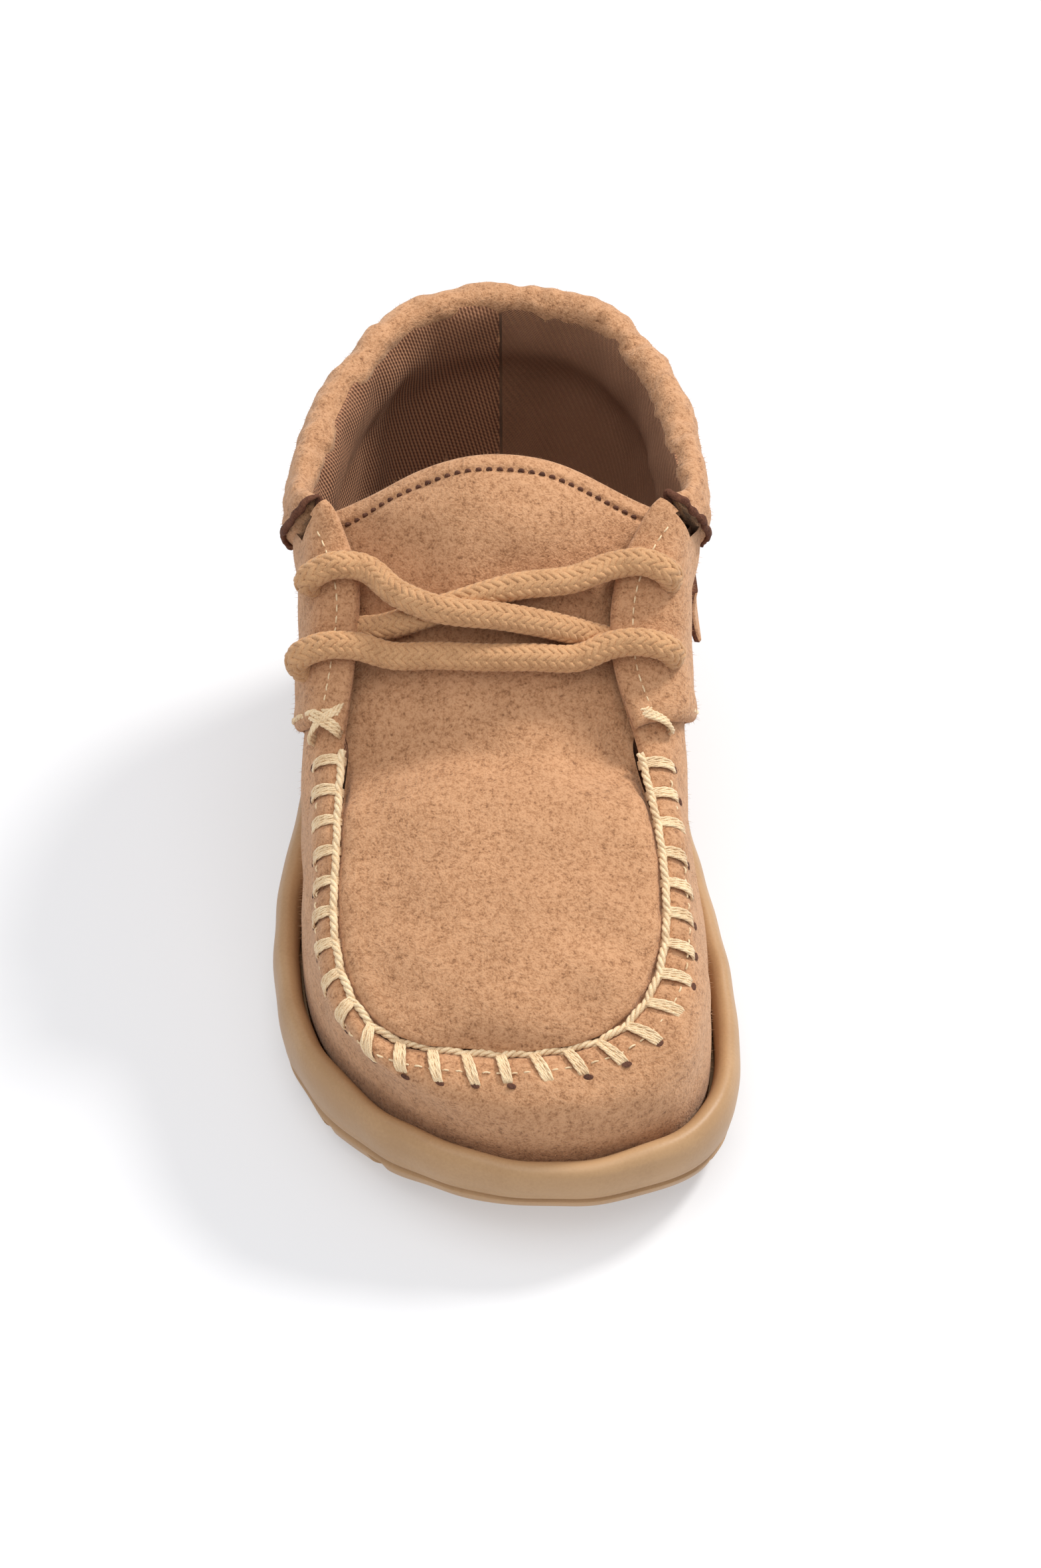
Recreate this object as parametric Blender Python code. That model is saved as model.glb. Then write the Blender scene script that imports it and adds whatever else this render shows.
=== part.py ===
"""Toddler's moccasin boot, one right shoe, standing empty on its sole.

Metres, +Z up. The toe points to -Y, the heel to +Y, and the wearer's big toe is on the +X side.
The origin is on the floor, under the middle of the outsole.

The upper, the overlays on it and the tongue are all cut from one function, last_surface(way, rise).
way goes round the shoe: 0 at the back of the heel, 1 at the toe along the inner side (+X) and -1 at
the toe along the outer side (-X). rise goes up the wall: 0 at the sole's lip and 1 at the top edge,
which is the collar at the heel, the facing at the throat and the hand-sewn seam at the toe.
"""

import math

import bmesh
import bpy
import numpy as np
from mathutils import Vector

MM = 0.001

# Sole
OUTSOLE_LENGTH = 134 * MM
OUTSOLE_WIDTH = 66 * MM
LIP_HEIGHT_BALL = 13 * MM
LIP_HEIGHT_HEEL = 16 * MM
LIP_HEIGHT_TOE = 16 * MM
LIP_WIDTH = 3.9 * MM
TOE_SPRING = 8 * MM
HEEL_SPRING = 1.6 * MM
ARCH_LIFT = 1.2 * MM
CUP_DEPTH = 5 * MM
SIDE_GROOVE_DEPTH = 0.5 * MM
TREAD_GROOVE_WIDTH = 2.4 * MM
TREAD_GROOVE_DEPTH = 1.8 * MM
TREAD_PITCH = 8.5 * MM

# Upper
COLLAR_TOP_HEIGHT = 63 * MM
UPPER_WALL = 1.6 * MM
OVERLAY_THICKNESS = 1.2 * MM
APRON_THICKNESS = 1.6 * MM
COLLAR_THICKNESS = 6.8 * MM
COLLAR_HEIGHT = 12 * MM
TONGUE_TUCK = 2.4 * MM
TONGUE_DROP = 1.3 * MM
INSOLE_THICKNESS = 3 * MM
EYELET_RADIUS = 2.1 * MM
LACE_DIAMETER = 4.2 * MM
TAG_THICKNESS = 1.2 * MM
TAG_WIDTH = 8 * MM
TAG_LENGTH = 9 * MM
TAG_STAND = 2.5 * MM

# Room left between neighbours
GAP = 0.3 * MM
CUP_PLAY = 0.42 * MM
INSOLE_PLAY = 0.48 * MM
COLLAR_SEAT_PLAY = 0.45 * MM
LACE_PLAY = 0.9 * MM

SUEDE = (0.76, 0.43, 0.24)
GUM = (0.58, 0.36, 0.19)
INSOLE_COLOUR = (0.62, 0.36, 0.20)
LACE_COLOUR = (0.70, 0.38, 0.20)
SUEDE_ROUGHNESS = 0.9
GUM_ROUGHNESS = 0.55
LACE_ROUGHNESS = 0.8

HALF_LENGTH = OUTSOLE_LENGTH / 2
HALF_WIDTH = OUTSOLE_WIDTH / 2

# The outsole in plan. place is a share of HALF_LENGTH, from the toe at -1 to the heel at 1.
# fullness scales an ellipse of HALF_WIDTH, and swing moves its middle line, a share of HALF_WIDTH.
SOLE_PLAN_COLUMNS = ("place", "fullness", "swing")
SOLE_PLAN = [
    (-1.00, 1.310, 0.200),
    (-0.92, 1.355, 0.200),
    (-0.80, 1.300, 0.155),
    (-0.60, 1.190, 0.065),
    (-0.40, 1.087, 0.006),
    (-0.15, 0.972, -0.035),
    (0.10, 0.885, -0.045),
    (0.35, 0.870, -0.045),
    (0.60, 0.985, -0.024),
    (0.80, 1.140, -0.005),
    (1.00, 1.190, 0.000),
]

# The top edge of the wall and the shape of the wall under it, a row for each section round the shoe.
# way runs from the heel, 0, to the toe, 1. foot is where the section meets the sole, as a share of
# the half turn from heel to toe. inner and outer are the top edge's distances from the middle line,
# shares of HALF_WIDTH. place is its share of HALF_LENGTH and height its share of COLLAR_TOP_HEIGHT.
# round bends the section like a quarter ellipse, and a shoulder over 2 makes that squarer. The
# bulges swell the section on either side, shares of HALF_WIDTH.
WALL_COLUMNS = ("way", "foot", "inner", "outer", "place", "height", "round", "shoulder", "bulge_inner", "bulge_outer")
WALL_SECTIONS = [
    (0.00, 0.000, 0.000, 0.000, 0.950, 1.030, 0.10, 2.0, 0.050, 0.050),
    (0.12, 0.140, 0.465, 0.430, 0.880, 1.025, 0.10, 2.0, 0.050, 0.050),
    (0.24, 0.265, 0.735, 0.717, 0.655, 1.010, 0.15, 2.0, 0.050, 0.050),
    (0.34, 0.365, 0.820, 0.840, 0.437, 1.003, 0.25, 2.0, 0.040, 0.040),
    (0.41, 0.425, 0.790, 0.830, 0.299, 1.012, 0.50, 2.3, 0.080, 0.050),
    (0.45, 0.448, 0.670, 0.735, 0.243, 1.020, 0.75, 2.8, 0.105, 0.065),
    (0.51, 0.476, 0.500, 0.615, 0.120, 0.922, 0.92, 3.6, 0.105, 0.060),
    (0.57, 0.506, 0.470, 0.620, -0.015, 0.816, 0.95, 3.8, 0.080, 0.040),
    (0.64, 0.545, 0.585, 0.680, -0.177, 0.686, 0.92, 3.0, 0.040, 0.025),
    (0.72, 0.615, 0.672, 0.703, -0.383, 0.600, 0.85, 2.2, 0.015, 0.010),
    (0.80, 0.695, 0.680, 0.703, -0.578, 0.522, 0.85, 2.0, 0.030, 0.030),
    (0.86, 0.765, 0.610, 0.633, -0.692, 0.476, 0.85, 2.0, 0.060, 0.060),
    (0.92, 0.850, 0.440, 0.470, -0.775, 0.441, 0.85, 2.0, 0.080, 0.080),
    (1.00, 1.000, 0.020, -0.020, -0.811, 0.425, 0.85, 2.0, 0.080, 0.080),
]

BULGE_HEIGHT = 1.7
CORNER_WAY = 0.45
QUARTER_END_WAY = 0.626
SEAM_END_WAY = 0.64


def smooth_through(knots, values, at, period=None):
    """A smooth curve through values at knots. Each knot's slope comes from its two neighbours."""
    knots, values = np.asarray(knots, float), np.asarray(values, float)
    if period:
        at = knots[0] + np.mod(np.asarray(at, float) - knots[0], period)
        knots = np.concatenate([[knots[-1] - period], knots, knots[:2] + period])
        values = np.concatenate([values[-1:], values, values[:2]])
    step = np.diff(knots)
    run = np.diff(values, axis=0) / step[:, None]
    slope = np.empty_like(values)
    slope[1:-1] = (run[1:] * step[:-1, None] + run[:-1] * step[1:, None]) / (step[1:] + step[:-1])[:, None]
    slope[0], slope[-1] = run[0], run[-1]
    at = np.clip(np.asarray(at, float), knots[0], knots[-1])
    k = np.clip(np.searchsorted(knots, at, side="right") - 1, 0, len(step) - 1)
    h = step[k][..., None]
    t = ((at - knots[k]) / step[k])[..., None]
    return (
        values[k] * (1 + 2 * t) * (1 - t) ** 2
        + values[k + 1] * t**2 * (3 - 2 * t)
        + slope[k] * h * t * (1 - t) ** 2
        - slope[k + 1] * h * t**2 * (1 - t)
    )


def columns_of(names, rows):
    """A table's columns by name."""
    return dict(zip(names, np.array(rows, float).T))


def ramp(value, start, end):
    """0 before start, 1 after end, and smooth in between."""
    t = np.clip((np.asarray(value, float) - start) / (end - start), 0, 1)
    return t * t * (3 - 2 * t)


def plan_raw(angle):
    """The outsole's widest line before it is centred. angle is 0 at the heel and pi at the toe."""
    plan = columns_of(SOLE_PLAN_COLUMNS, SOLE_PLAN)
    place = np.cos(angle)
    shape = smooth_through(plan["place"], np.stack([plan["fullness"], plan["swing"]], -1), place)
    x = HALF_WIDTH * (shape[..., 1] + shape[..., 0] * np.sin(angle))
    return np.stack([x, HALF_LENGTH * place], -1)


WHOLE_TURN = np.linspace(0, 2 * math.pi, 720, endpoint=False)
RAW_SIDES = plan_raw(WHOLE_TURN)[:, 0]
CENTRE_SHIFT = (RAW_SIDES.max() + RAW_SIDES.min()) / 2


def plan_outline(angle):
    """The outsole's widest line, centred on the origin."""
    return plan_raw(angle) - np.array([CENTRE_SHIFT, 0])


def plan_outward(angle):
    """The unit normal of the outline in plan, pointing out of the sole."""
    step = 1e-3
    along = plan_outline(angle + step) - plan_outline(angle - step)
    along /= np.linalg.norm(along, axis=-1, keepdims=True)
    return np.stack([-along[..., 1], along[..., 0]], -1)


def inset_outline(angle, inset):
    """The outline moved inwards by inset."""
    return plan_outline(angle) - plan_outward(angle) * np.asarray(inset)[..., None]


# Where the underside bends and the lip climbs, shares of HALF_LENGTH from the middle.
TOE_BEND_PLACE = -0.42
ARCH_FRONT_PLACES = (-0.02, 0.12)
ARCH_BACK_PLACES = (0.18, 0.32)
HEEL_BEND_PLACE = 0.82
HEEL_LIP_PLACES = (-0.10, 0.75)


def bottom_height(y):
    """The underside: flat under heel and ball, lifted at the arch, the toe and the heel's back edge."""
    place = np.asarray(y) / HALF_LENGTH
    toe = TOE_SPRING * np.clip((TOE_BEND_PLACE - place) / (TOE_BEND_PLACE + 1), 0, None) ** 2
    arch = ARCH_LIFT * ramp(place, *ARCH_FRONT_PLACES) * (1 - ramp(place, *ARCH_BACK_PLACES))
    heel = HEEL_SPRING * np.clip((place - HEEL_BEND_PLACE) / (1 - HEEL_BEND_PLACE), 0, None) ** 2
    return toe + arch + heel


def lip_height(y):
    """The crest of the sole's lip: highest at the heel, and lifted again at the toe."""
    place = np.asarray(y) / HALF_LENGTH
    heel = (LIP_HEIGHT_HEEL - LIP_HEIGHT_BALL) * ramp(place, *HEEL_LIP_PLACES)
    toe = (LIP_HEIGHT_TOE - LIP_HEIGHT_BALL) * (1 - ramp(place, -1, TOE_BEND_PLACE))
    return LIP_HEIGHT_BALL + heel + toe


def cup_floor(y):
    """The floor of the sole's cup, on which upper and insole stand."""
    return lip_height(y) - CUP_DEPTH


def closed_sections():
    """The wall's table as one closed loop, outer side, heel, inner side, toe: way runs from -1 to 1."""
    rows = [dict(zip(WALL_COLUMNS, row)) for row in WALL_SECTIONS]
    loop = [(row, -1, "outer") for row in rows[:0:-1]] + [(row, 1, "inner") for row in rows[:-1]]
    knots = [sign * row["way"] for row, sign, _ in loop]
    values = [
        (
            sign * row["foot"],
            sign * row[side],
            row["place"],
            row["height"],
            row["round"],
            row["shoulder"],
            row["bulge_" + side],
        )
        for row, sign, side in loop
    ]
    return np.array(knots), np.array(values)


SECTION_KNOTS, SECTION_VALUES = closed_sections()


def wall_terms(way):
    """The section's terms at way. foot keeps growing past the toe, so its turn is added back."""
    way = np.asarray(way, float)
    values = SECTION_VALUES.copy()
    knots = SECTION_KNOTS
    values[:, 0] -= knots
    terms = smooth_through(knots, values, way, period=2.0)
    terms[..., 0] += way
    return terms


def top_edge(way):
    """The point of the wall's top edge at way."""
    terms = wall_terms(way)
    return np.stack(
        [
            HALF_WIDTH * terms[..., 1] - CENTRE_SHIFT,
            HALF_LENGTH * terms[..., 2],
            COLLAR_TOP_HEIGHT * terms[..., 3],
        ],
        -1,
    )


def wall_point(way, climb_share):
    """The wall's outer face. climb_share runs from 0 at the sole's lip to 1 at the top edge."""
    way, up = np.broadcast_arrays(np.asarray(way, float), np.asarray(climb_share, float))
    terms = wall_terms(way)
    angle = math.pi * terms[..., 0]
    foot = inset_outline(angle, np.full(way.shape, LIP_WIDTH + CUP_PLAY))
    foot_z = lip_height(foot[..., 1])
    top = top_edge(way)
    bend, shoulder = terms[..., 4], terms[..., 5]
    turn = math.pi / 2 * up ** (shoulder / 2)
    lean = (1 - bend) * up + bend * (1 - np.clip(np.cos(turn), 0, 1) ** (2 / shoulder))
    climb = (1 - bend) * up + bend * np.sin(turn) ** (2 / shoulder)
    swell = HALF_WIDTH * terms[..., 6] * np.sin(math.pi * up**BULGE_HEIGHT)
    flat = foot + (top[..., :2] - foot) * lean[..., None] + plan_outward(angle) * swell[..., None]
    return np.concatenate([flat, (foot_z + (top[..., 2] - foot_z) * climb)[..., None]], -1)


LENGTH_STEPS = 48
LENGTH_WAYS = np.linspace(-1, 1, 161)
LENGTH_SHARES = np.linspace(0, 1, LENGTH_STEPS + 1)


def length_table():
    """For each of LENGTH_WAYS, the wall's length and the climb shares that divide it evenly."""
    points = wall_point(LENGTH_WAYS[:, None], LENGTH_SHARES)
    run = np.linalg.norm(np.diff(points, axis=1), axis=-1)
    run = np.concatenate([np.zeros((len(run), 1)), np.cumsum(run, axis=1)], axis=1)
    even = [np.interp(LENGTH_SHARES, row / row[-1], LENGTH_SHARES) for row in run]
    return run[:, -1], np.array(even)


WALL_LENGTHS, EVEN_CLIMB = length_table()


def wall_length(way):
    """The length of the wall's section from the lip to the top edge."""
    return np.interp((np.asarray(way, float) + 1) % 2 - 1, LENGTH_WAYS, WALL_LENGTHS)


def last_surface(way, rise):
    """The outer face of the wall. rise is a share of its length, and below 0 it goes straight down."""
    way, rise = np.broadcast_arrays(np.asarray(way, float), np.asarray(rise, float))
    column = ((way + 1) % 2) / 2 * (len(LENGTH_WAYS) - 1)
    row = np.clip(rise, 0, 1) * LENGTH_STEPS
    c = np.minimum(column.astype(int), len(LENGTH_WAYS) - 2)
    r = np.minimum(row.astype(int), LENGTH_STEPS - 1)
    u, v = column - c, row - r
    climb = (1 - u) * ((1 - v) * EVEN_CLIMB[c, r] + v * EVEN_CLIMB[c, r + 1])
    climb += u * ((1 - v) * EVEN_CLIMB[c + 1, r] + v * EVEN_CLIMB[c + 1, r + 1])
    point = wall_point(way, climb)
    point[..., 2] += np.minimum(rise, 0) * CUP_DEPTH
    return point


def surface_frame(way, rise):
    """Point, unit normal and unit upward tangent of the last's surface."""
    step = 2e-3
    point = last_surface(way, rise)
    along = last_surface(way + step, rise) - last_surface(way - step, rise)
    high = np.minimum(rise + step, 1)
    up = last_surface(way, high) - last_surface(way, high - 2 * step)
    normal = np.cross(up, along)
    normal /= np.linalg.norm(normal, axis=-1, keepdims=True)
    up /= np.linalg.norm(up, axis=-1, keepdims=True)
    return point, normal, up


def offset_surface(way, rise, out):
    """The surface moved out of the last by out, or into it where out is negative."""
    way, rise, out = np.broadcast_arrays(*(np.asarray(v, float) for v in (way, rise, out)))
    point, normal, _ = surface_frame(way, rise)
    return point + normal * out[..., None]


def mesh_object(name, points, faces, colour, roughness):
    """A closed mesh object with its own material, shaded smooth except over sharp edges."""
    bm = bmesh.new()
    verts = [bm.verts.new(Vector(p)) for p in points]
    for face in faces:
        corners = list(dict.fromkeys(face))
        if len(corners) > 2:
            bm.faces.new([verts[i] for i in corners])
    bmesh.ops.recalc_face_normals(bm, faces=bm.faces)
    mesh = bpy.data.meshes.new(name)
    bm.to_mesh(mesh)
    bm.free()
    mesh.shade_smooth()
    mesh.set_sharp_from_angle(angle=math.radians(40))
    obj = bpy.data.objects.new(name, mesh)
    bpy.context.scene.collection.objects.link(obj)
    material = bpy.data.materials.new(name)
    material.use_nodes = True
    shader = material.node_tree.nodes["Principled BSDF"]
    shader.inputs["Base Color"].default_value = (*colour, 1)
    shader.inputs["Roughness"].default_value = roughness
    shader.inputs["Metallic"].default_value = 0
    mesh.materials.append(material)
    return obj


def grid_faces(rows, columns, ring, start=0):
    """Quads of a grid whose points are stored row by row."""
    faces = []
    for r in range(rows - 1):
        for c in range(columns if ring else columns - 1):
            d = (c + 1) % columns
            faces.append([start + r * columns + k for k in (c, d)] + [start + (r + 1) * columns + k for k in (d, c)])
    return faces


def two_sided(outer, inner, ring):
    """Points and faces of the solid between two grids of one shape, with its edges closed."""
    rows, columns = outer.shape[:2]
    half = rows * columns
    points = np.concatenate([outer.reshape(-1, 3), inner.reshape(-1, 3)])
    faces = grid_faces(rows, columns, ring)
    faces += [face[::-1] for face in grid_faces(rows, columns, ring, half)]
    for row in (0, rows - 1):
        for c in range(columns if ring else columns - 1):
            a, b = row * columns + c, row * columns + (c + 1) % columns
            faces.append([a, b, b + half, a + half])
    if not ring:
        for r in range(rows - 1):
            for a in (r * columns, r * columns + columns - 1):
                b = a + columns
                faces.append([a, b, b + half, a + half])
    return points, faces


def loft(sections, ring):
    """Points and faces of closed sections joined one to the next, capped where it isn't a ring."""
    count, size = sections.shape[:2]
    faces = []
    for c in range(count if ring else count - 1):
        d = (c + 1) % count
        for k in range(size):
            m = (k + 1) % size
            faces.append([c * size + k, c * size + m, d * size + m, d * size + k])
    if not ring:
        faces.append(list(range(size)))
        faces.append(list(range((count - 1) * size, count * size))[::-1])
    return sections.reshape(-1, 3), faces


def cut(obj, cutter, operation="DIFFERENCE"):
    """Applies a Boolean to obj and removes the cutter."""
    cutter.hide_render = True
    cutter.display_type = "WIRE"
    step = obj.modifiers.new("cut", "BOOLEAN")
    step.operation = operation
    step.solver = "EXACT"
    step.object = cutter
    bpy.context.view_layer.update()
    whole = obj.evaluated_get(bpy.context.evaluated_depsgraph_get())
    mesh = bpy.data.meshes.new_from_object(whole)
    obj.modifiers.clear()
    obj.data = mesh
    mesh.name = obj.name
    bpy.data.objects.remove(cutter)


def stations(stops):
    """Values between stops of (value, steps to the next stop), ending with the last stop's value."""
    values = []
    for (start, steps), (end, _) in zip(stops[:-1], stops[1:]):
        values.extend(np.linspace(start, end, steps, endpoint=False))
    return np.array(values + [stops[-1][0]])


def mirrored(values):
    """The values with their opposites in front, in rising order."""
    return np.concatenate([-values[::-1], values[1:] if values[0] == 0 else values])


# The outsole's side in section, from the underside up and over the lip. inset is a share of
# LIP_WIDTH inwards from the widest line, and level a share of the way from underside to crest.
SIDE_COLUMNS = ("inset", "level")
SIDE_PROFILE = [
    (0.62, 0.00),
    (0.34, 0.05),
    (0.24, 0.20),
    (0.24, 0.20),
    (0.18, 0.30),
    (0.00, 0.58),
    (0.05, 0.80),
    (0.26, 0.96),
    (0.52, 1.00),
    (0.84, 0.93),
    (1.00, 0.80),
]
GROOVE_ROW = 3
SOLE_STATIONS = 34
TREAD_REACH = 0.84


def make_outsole():
    """The cupsole: a ring of side sections, closed by strips across its underside and cup floor."""
    half = math.pi * (np.arange(SOLE_STATIONS) + 0.5) / SOLE_STATIONS
    angle = np.concatenate([half, 2 * math.pi - half[::-1]])
    side = columns_of(SIDE_COLUMNS, SIDE_PROFILE)
    rings = []
    for row, (inset, level) in enumerate(zip(side["inset"], side["level"])):
        depth = inset * LIP_WIDTH + (SIDE_GROOVE_DEPTH if row == GROOVE_ROW else 0)
        if row == GROOVE_ROW:
            level += SIDE_GROOVE_DEPTH / LIP_HEIGHT_BALL
        ring = inset_outline(angle, np.full(angle.shape, depth))
        low, high = bottom_height(ring[:, 1]), lip_height(ring[:, 1])
        rings.append(np.column_stack([ring, low + (high - low) * level]))
    floor = inset_outline(angle, np.full(angle.shape, LIP_WIDTH))
    rings.append(np.column_stack([floor, cup_floor(floor[:, 1])]))
    faces = grid_faces(len(rings), len(angle), ring=True)
    for ring in (0, len(rings) - 1):
        faces += strips_across(len(angle), ring * len(angle))
    outsole = mesh_object("outsole", np.concatenate(rings), faces, GUM, GUM_ROUGHNESS)
    cut(outsole, tread_cutters())
    return outsole


def strips_across(count, start):
    """Quads across a ring of points, each joining two pairs that face each other."""
    return [
        [start + k, start + k + 1, start + count - 2 - k, start + count - 1 - k]
        for k in range(count // 2 - 1)
    ]


def tread_cutters():
    """Bars across the underside that cut the tread's grooves out to its sides."""
    reach = TREAD_REACH * HALF_LENGTH
    count = int(2 * reach / TREAD_PITCH)
    points, faces = [], []
    for k in range(count + 1):
        y = (k - count / 2) * TREAD_PITCH
        slope = (bottom_height(y + MM) - bottom_height(y - MM)) / (2 * MM)
        across = np.array([0, 1, slope]) / math.hypot(1, slope)
        down = np.array([0, across[2], -across[1]])
        middle = np.array([0, y, float(bottom_height(y))])
        corner = []
        for depth in (-TREAD_GROOVE_DEPTH, TREAD_GROOVE_DEPTH + TOE_SPRING):
            for side in (-OUTSOLE_WIDTH, OUTSOLE_WIDTH):
                for end in (-0.5, 0.5):
                    corner.append(middle + down * depth + across * end * TREAD_GROOVE_WIDTH + [side, 0, 0])
        base = len(points)
        points += corner
        for face in ((0, 1, 3, 2), (4, 6, 7, 5), (0, 4, 5, 1), (2, 3, 7, 6), (0, 2, 6, 4), (1, 5, 7, 3)):
            faces.append([base + i for i in face])
    return mesh_object("tread_cutter", points, faces, GUM, GUM_ROUGHNESS)


def make_insole():
    """The sock lining's board, lying on the cup's floor inside the upper's foot."""
    half = math.pi * (np.arange(SOLE_STATIONS) + 0.5) / SOLE_STATIONS
    angle = np.concatenate([half, 2 * math.pi - half[::-1]])
    edge = inset_outline(angle, np.full(angle.shape, LIP_WIDTH + CUP_PLAY + UPPER_WALL + INSOLE_PLAY))
    base = cup_floor(edge[:, 1]) + GAP
    rings = [np.column_stack([edge, base]), np.column_stack([edge, base + INSOLE_THICKNESS])]
    faces = grid_faces(2, len(angle), ring=True)
    faces += strips_across(len(angle), 0) + strips_across(len(angle), len(angle))
    return mesh_object("insole", np.concatenate(rings), faces, INSOLE_COLOUR, SUEDE_ROUGHNESS)


CUTTER_SPARE = 2 * MM
CUTTER_STATIONS = 38
WALL_STOPS = [(0.0, 10), (0.36, 13), (SEAM_END_WAY, 12), (1.0, 1)]
WALL_RISES = [0.0, 0.2, 0.4, 0.57, 0.70, 0.79, 0.86, 0.92, 0.965, 1.0]


def make_upper():
    """The hollow main shell, from the cup's floor up to the collar's seat, facings and toe seam."""
    way = mirrored(stations(WALL_STOPS))[:-1][None, :]
    rise = np.array([-1 + GAP / CUP_DEPTH] + WALL_RISES)[:, None]
    outer = offset_surface(way, rise, 0)
    inner = offset_surface(way, rise, -UPPER_WALL)
    points, faces = two_sided(outer, inner, ring=True)
    upper = mesh_object("upper", points, faces, SUEDE, SUEDE_ROUGHNESS)
    cut(upper, collar_cutter())
    for side in (-1, 1):
        for row in EYELETS:
            cut(upper, eyelet_cutter(side, row))
    return upper


def collar_cutter():
    """The room for the collar: a band over the wall's top edge, from its seat to above its crest."""
    way = np.linspace(-CORNER_WAY, CORNER_WAY, CUTTER_STATIONS)[:, None]
    reach = UPPER_WALL + OVERLAY_THICKNESS + CUTTER_SPARE
    rise = 1 - COLLAR_HEIGHT / wall_length(way) * np.array([1, 0.5, 0, 0, 0, 0.5, 1])
    out = reach * np.array([1, 1, 1, 0, -1, -1, -1])
    sections = offset_surface(way, rise, out)
    sections[:, 2:5, 2] += reach
    points, faces = loft(sections, ring=False)
    return mesh_object("collar_cutter", points, faces, SUEDE, SUEDE_ROUGHNESS)


# The overlay's front lower edge: rise up the wall, and the edge's way there.
QUARTER_EDGE_COLUMNS = ("rise", "way")
QUARTER_EDGE = [(0.0, 0.440), (0.37, 0.520), (0.6, 0.580), (0.78, 0.610), (1.0, QUARTER_END_WAY)]
QUARTER_STOPS = [(0.0, 10), (0.36, 13), (QUARTER_END_WAY, 1)]
QUARTER_FOOT_RISE = 0.03


def make_quarter(name, side):
    """The overlay from the back seam to the facing, standing as a step over the upper."""
    top_way = stations(QUARTER_STOPS)[None, :]
    rise = np.array([QUARTER_FOOT_RISE] + WALL_RISES[1:])[:, None]
    edge = columns_of(QUARTER_EDGE_COLUMNS, QUARTER_EDGE)
    edge_way = smooth_through(edge["rise"], edge["way"][:, None], rise[:, 0])
    way = np.maximum(top_way / QUARTER_END_WAY * edge_way, GAP / wall_reach())
    outer = offset_surface(side * way, rise, GAP + OVERLAY_THICKNESS)
    inner = offset_surface(side * way, rise, GAP)
    points, faces = two_sided(outer, inner, ring=False)
    quarter = mesh_object(name, points, faces, SUEDE, SUEDE_ROUGHNESS)
    cut(quarter, collar_cutter())
    for row in EYELETS:
        cut(quarter, eyelet_cutter(side, row))
    return quarter


def wall_reach():
    """The run along the heel's back for one unit of way."""
    step = 1e-3
    return np.linalg.norm(last_surface(step, 0.5) - last_surface(-step, 0.5)) / (2 * step)


# The apron and tongue. way is that of a line's two edges, and crown the line's rise in the middle,
# a share of its half width there.
APRON_COLUMNS = ("way", "crown")
APRON_CROWNS = [
    (0.42, 0.42),
    (0.48, 0.38),
    (0.52, 0.34),
    (0.56, 0.30),
    (0.60, 0.26),
    (0.66, 0.21),
    (0.80, 0.19),
    (0.92, 0.18),
    (0.985, 0.10),
]
APRON_STOPS = [(0.432, 2), (0.48, 6), (SEAM_END_WAY, 11), (0.97, 1), (0.985, 1)]
TUCK_START_WAY = 0.70
TUCK_END_WAY = 0.60
TONGUE_EDGE_FLATNESS = 0.4
APRON_COLUMN_COUNT = 15


def apron_edge(way, side):
    """The sheet's edge: flush with the toe's seam, then tucked under the upper's facing."""
    under = 1 - ramp(way, SEAM_END_WAY, TUCK_START_WAY)
    out = 1 - ramp(way, TUCK_END_WAY, SEAM_END_WAY)
    depth = -under * (UPPER_WALL + TONGUE_DROP)
    reach = out * TONGUE_TUCK - (1 - out) * GAP
    point, normal, up = surface_frame(side * way, 1 - np.clip(reach, 0, None) / wall_length(side * way))
    return point + normal * depth[..., None] - up * np.minimum(reach, 0)[..., None]


def apron_top(way, across):
    """The sheet's upper face. across runs from -1 at the outer edge to 1 at the inner one."""
    way, across = np.broadcast_arrays(np.asarray(way, float), np.asarray(across, float))
    table = columns_of(APRON_COLUMNS, APRON_CROWNS)
    crown = smooth_through(table["way"], table["crown"][:, None], way)[..., 0]
    left, right = apron_edge(way, -1), apron_edge(way, 1)
    step = 0.01
    along = (apron_edge(way - step, -1) + apron_edge(way - step, 1) - left - right) / 2
    along[..., 0] = 0
    along /= np.linalg.norm(along, axis=-1, keepdims=True)
    lift = np.stack([along[..., 0], -along[..., 2], along[..., 1]], -1)
    half_width = np.linalg.norm(right - left, axis=-1) / 2
    share = (across[..., None] + 1) / 2
    flat_edge = 1 + TONGUE_EDGE_FLATNESS * (1 - ramp(way, SEAM_END_WAY, TUCK_START_WAY))
    high = half_width * crown * np.clip(1 - across**2, 0, 1) ** flat_edge
    return left + (right - left) * share + lift * high[..., None]


def apron_normal(way, across):
    """The unit normal of the sheet's upper face, pointing out of the shoe."""
    step = 1e-3
    along = apron_top(way - step, across) - apron_top(way + step, across)
    side = apron_top(way, across + step) - apron_top(way, across - step)
    normal = np.cross(side, along)
    return normal / np.linalg.norm(normal, axis=-1, keepdims=True)


def make_apron_tongue():
    """One sheet from the toe's seam up the instep, on under the facings to the tongue's top edge."""
    way = stations(APRON_STOPS)[::-1, None]
    across = np.sin(np.linspace(-math.pi / 2, math.pi / 2, APRON_COLUMN_COUNT))[None, :]
    top = apron_top(way, across)
    beside = np.where(across[..., None] < 0, surface_frame(-way, 1.0)[1], surface_frame(way, 1.0)[1])
    through = apron_normal(way, across)
    through += (beside - through) * np.abs(across[..., None]) ** 12
    through /= np.linalg.norm(through, axis=-1, keepdims=True)
    under = top - through * APRON_THICKNESS
    points, faces = two_sided(top, under, ring=False)
    return mesh_object("apron_tongue", points, faces, SUEDE, SUEDE_ROUGHNESS)


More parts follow.
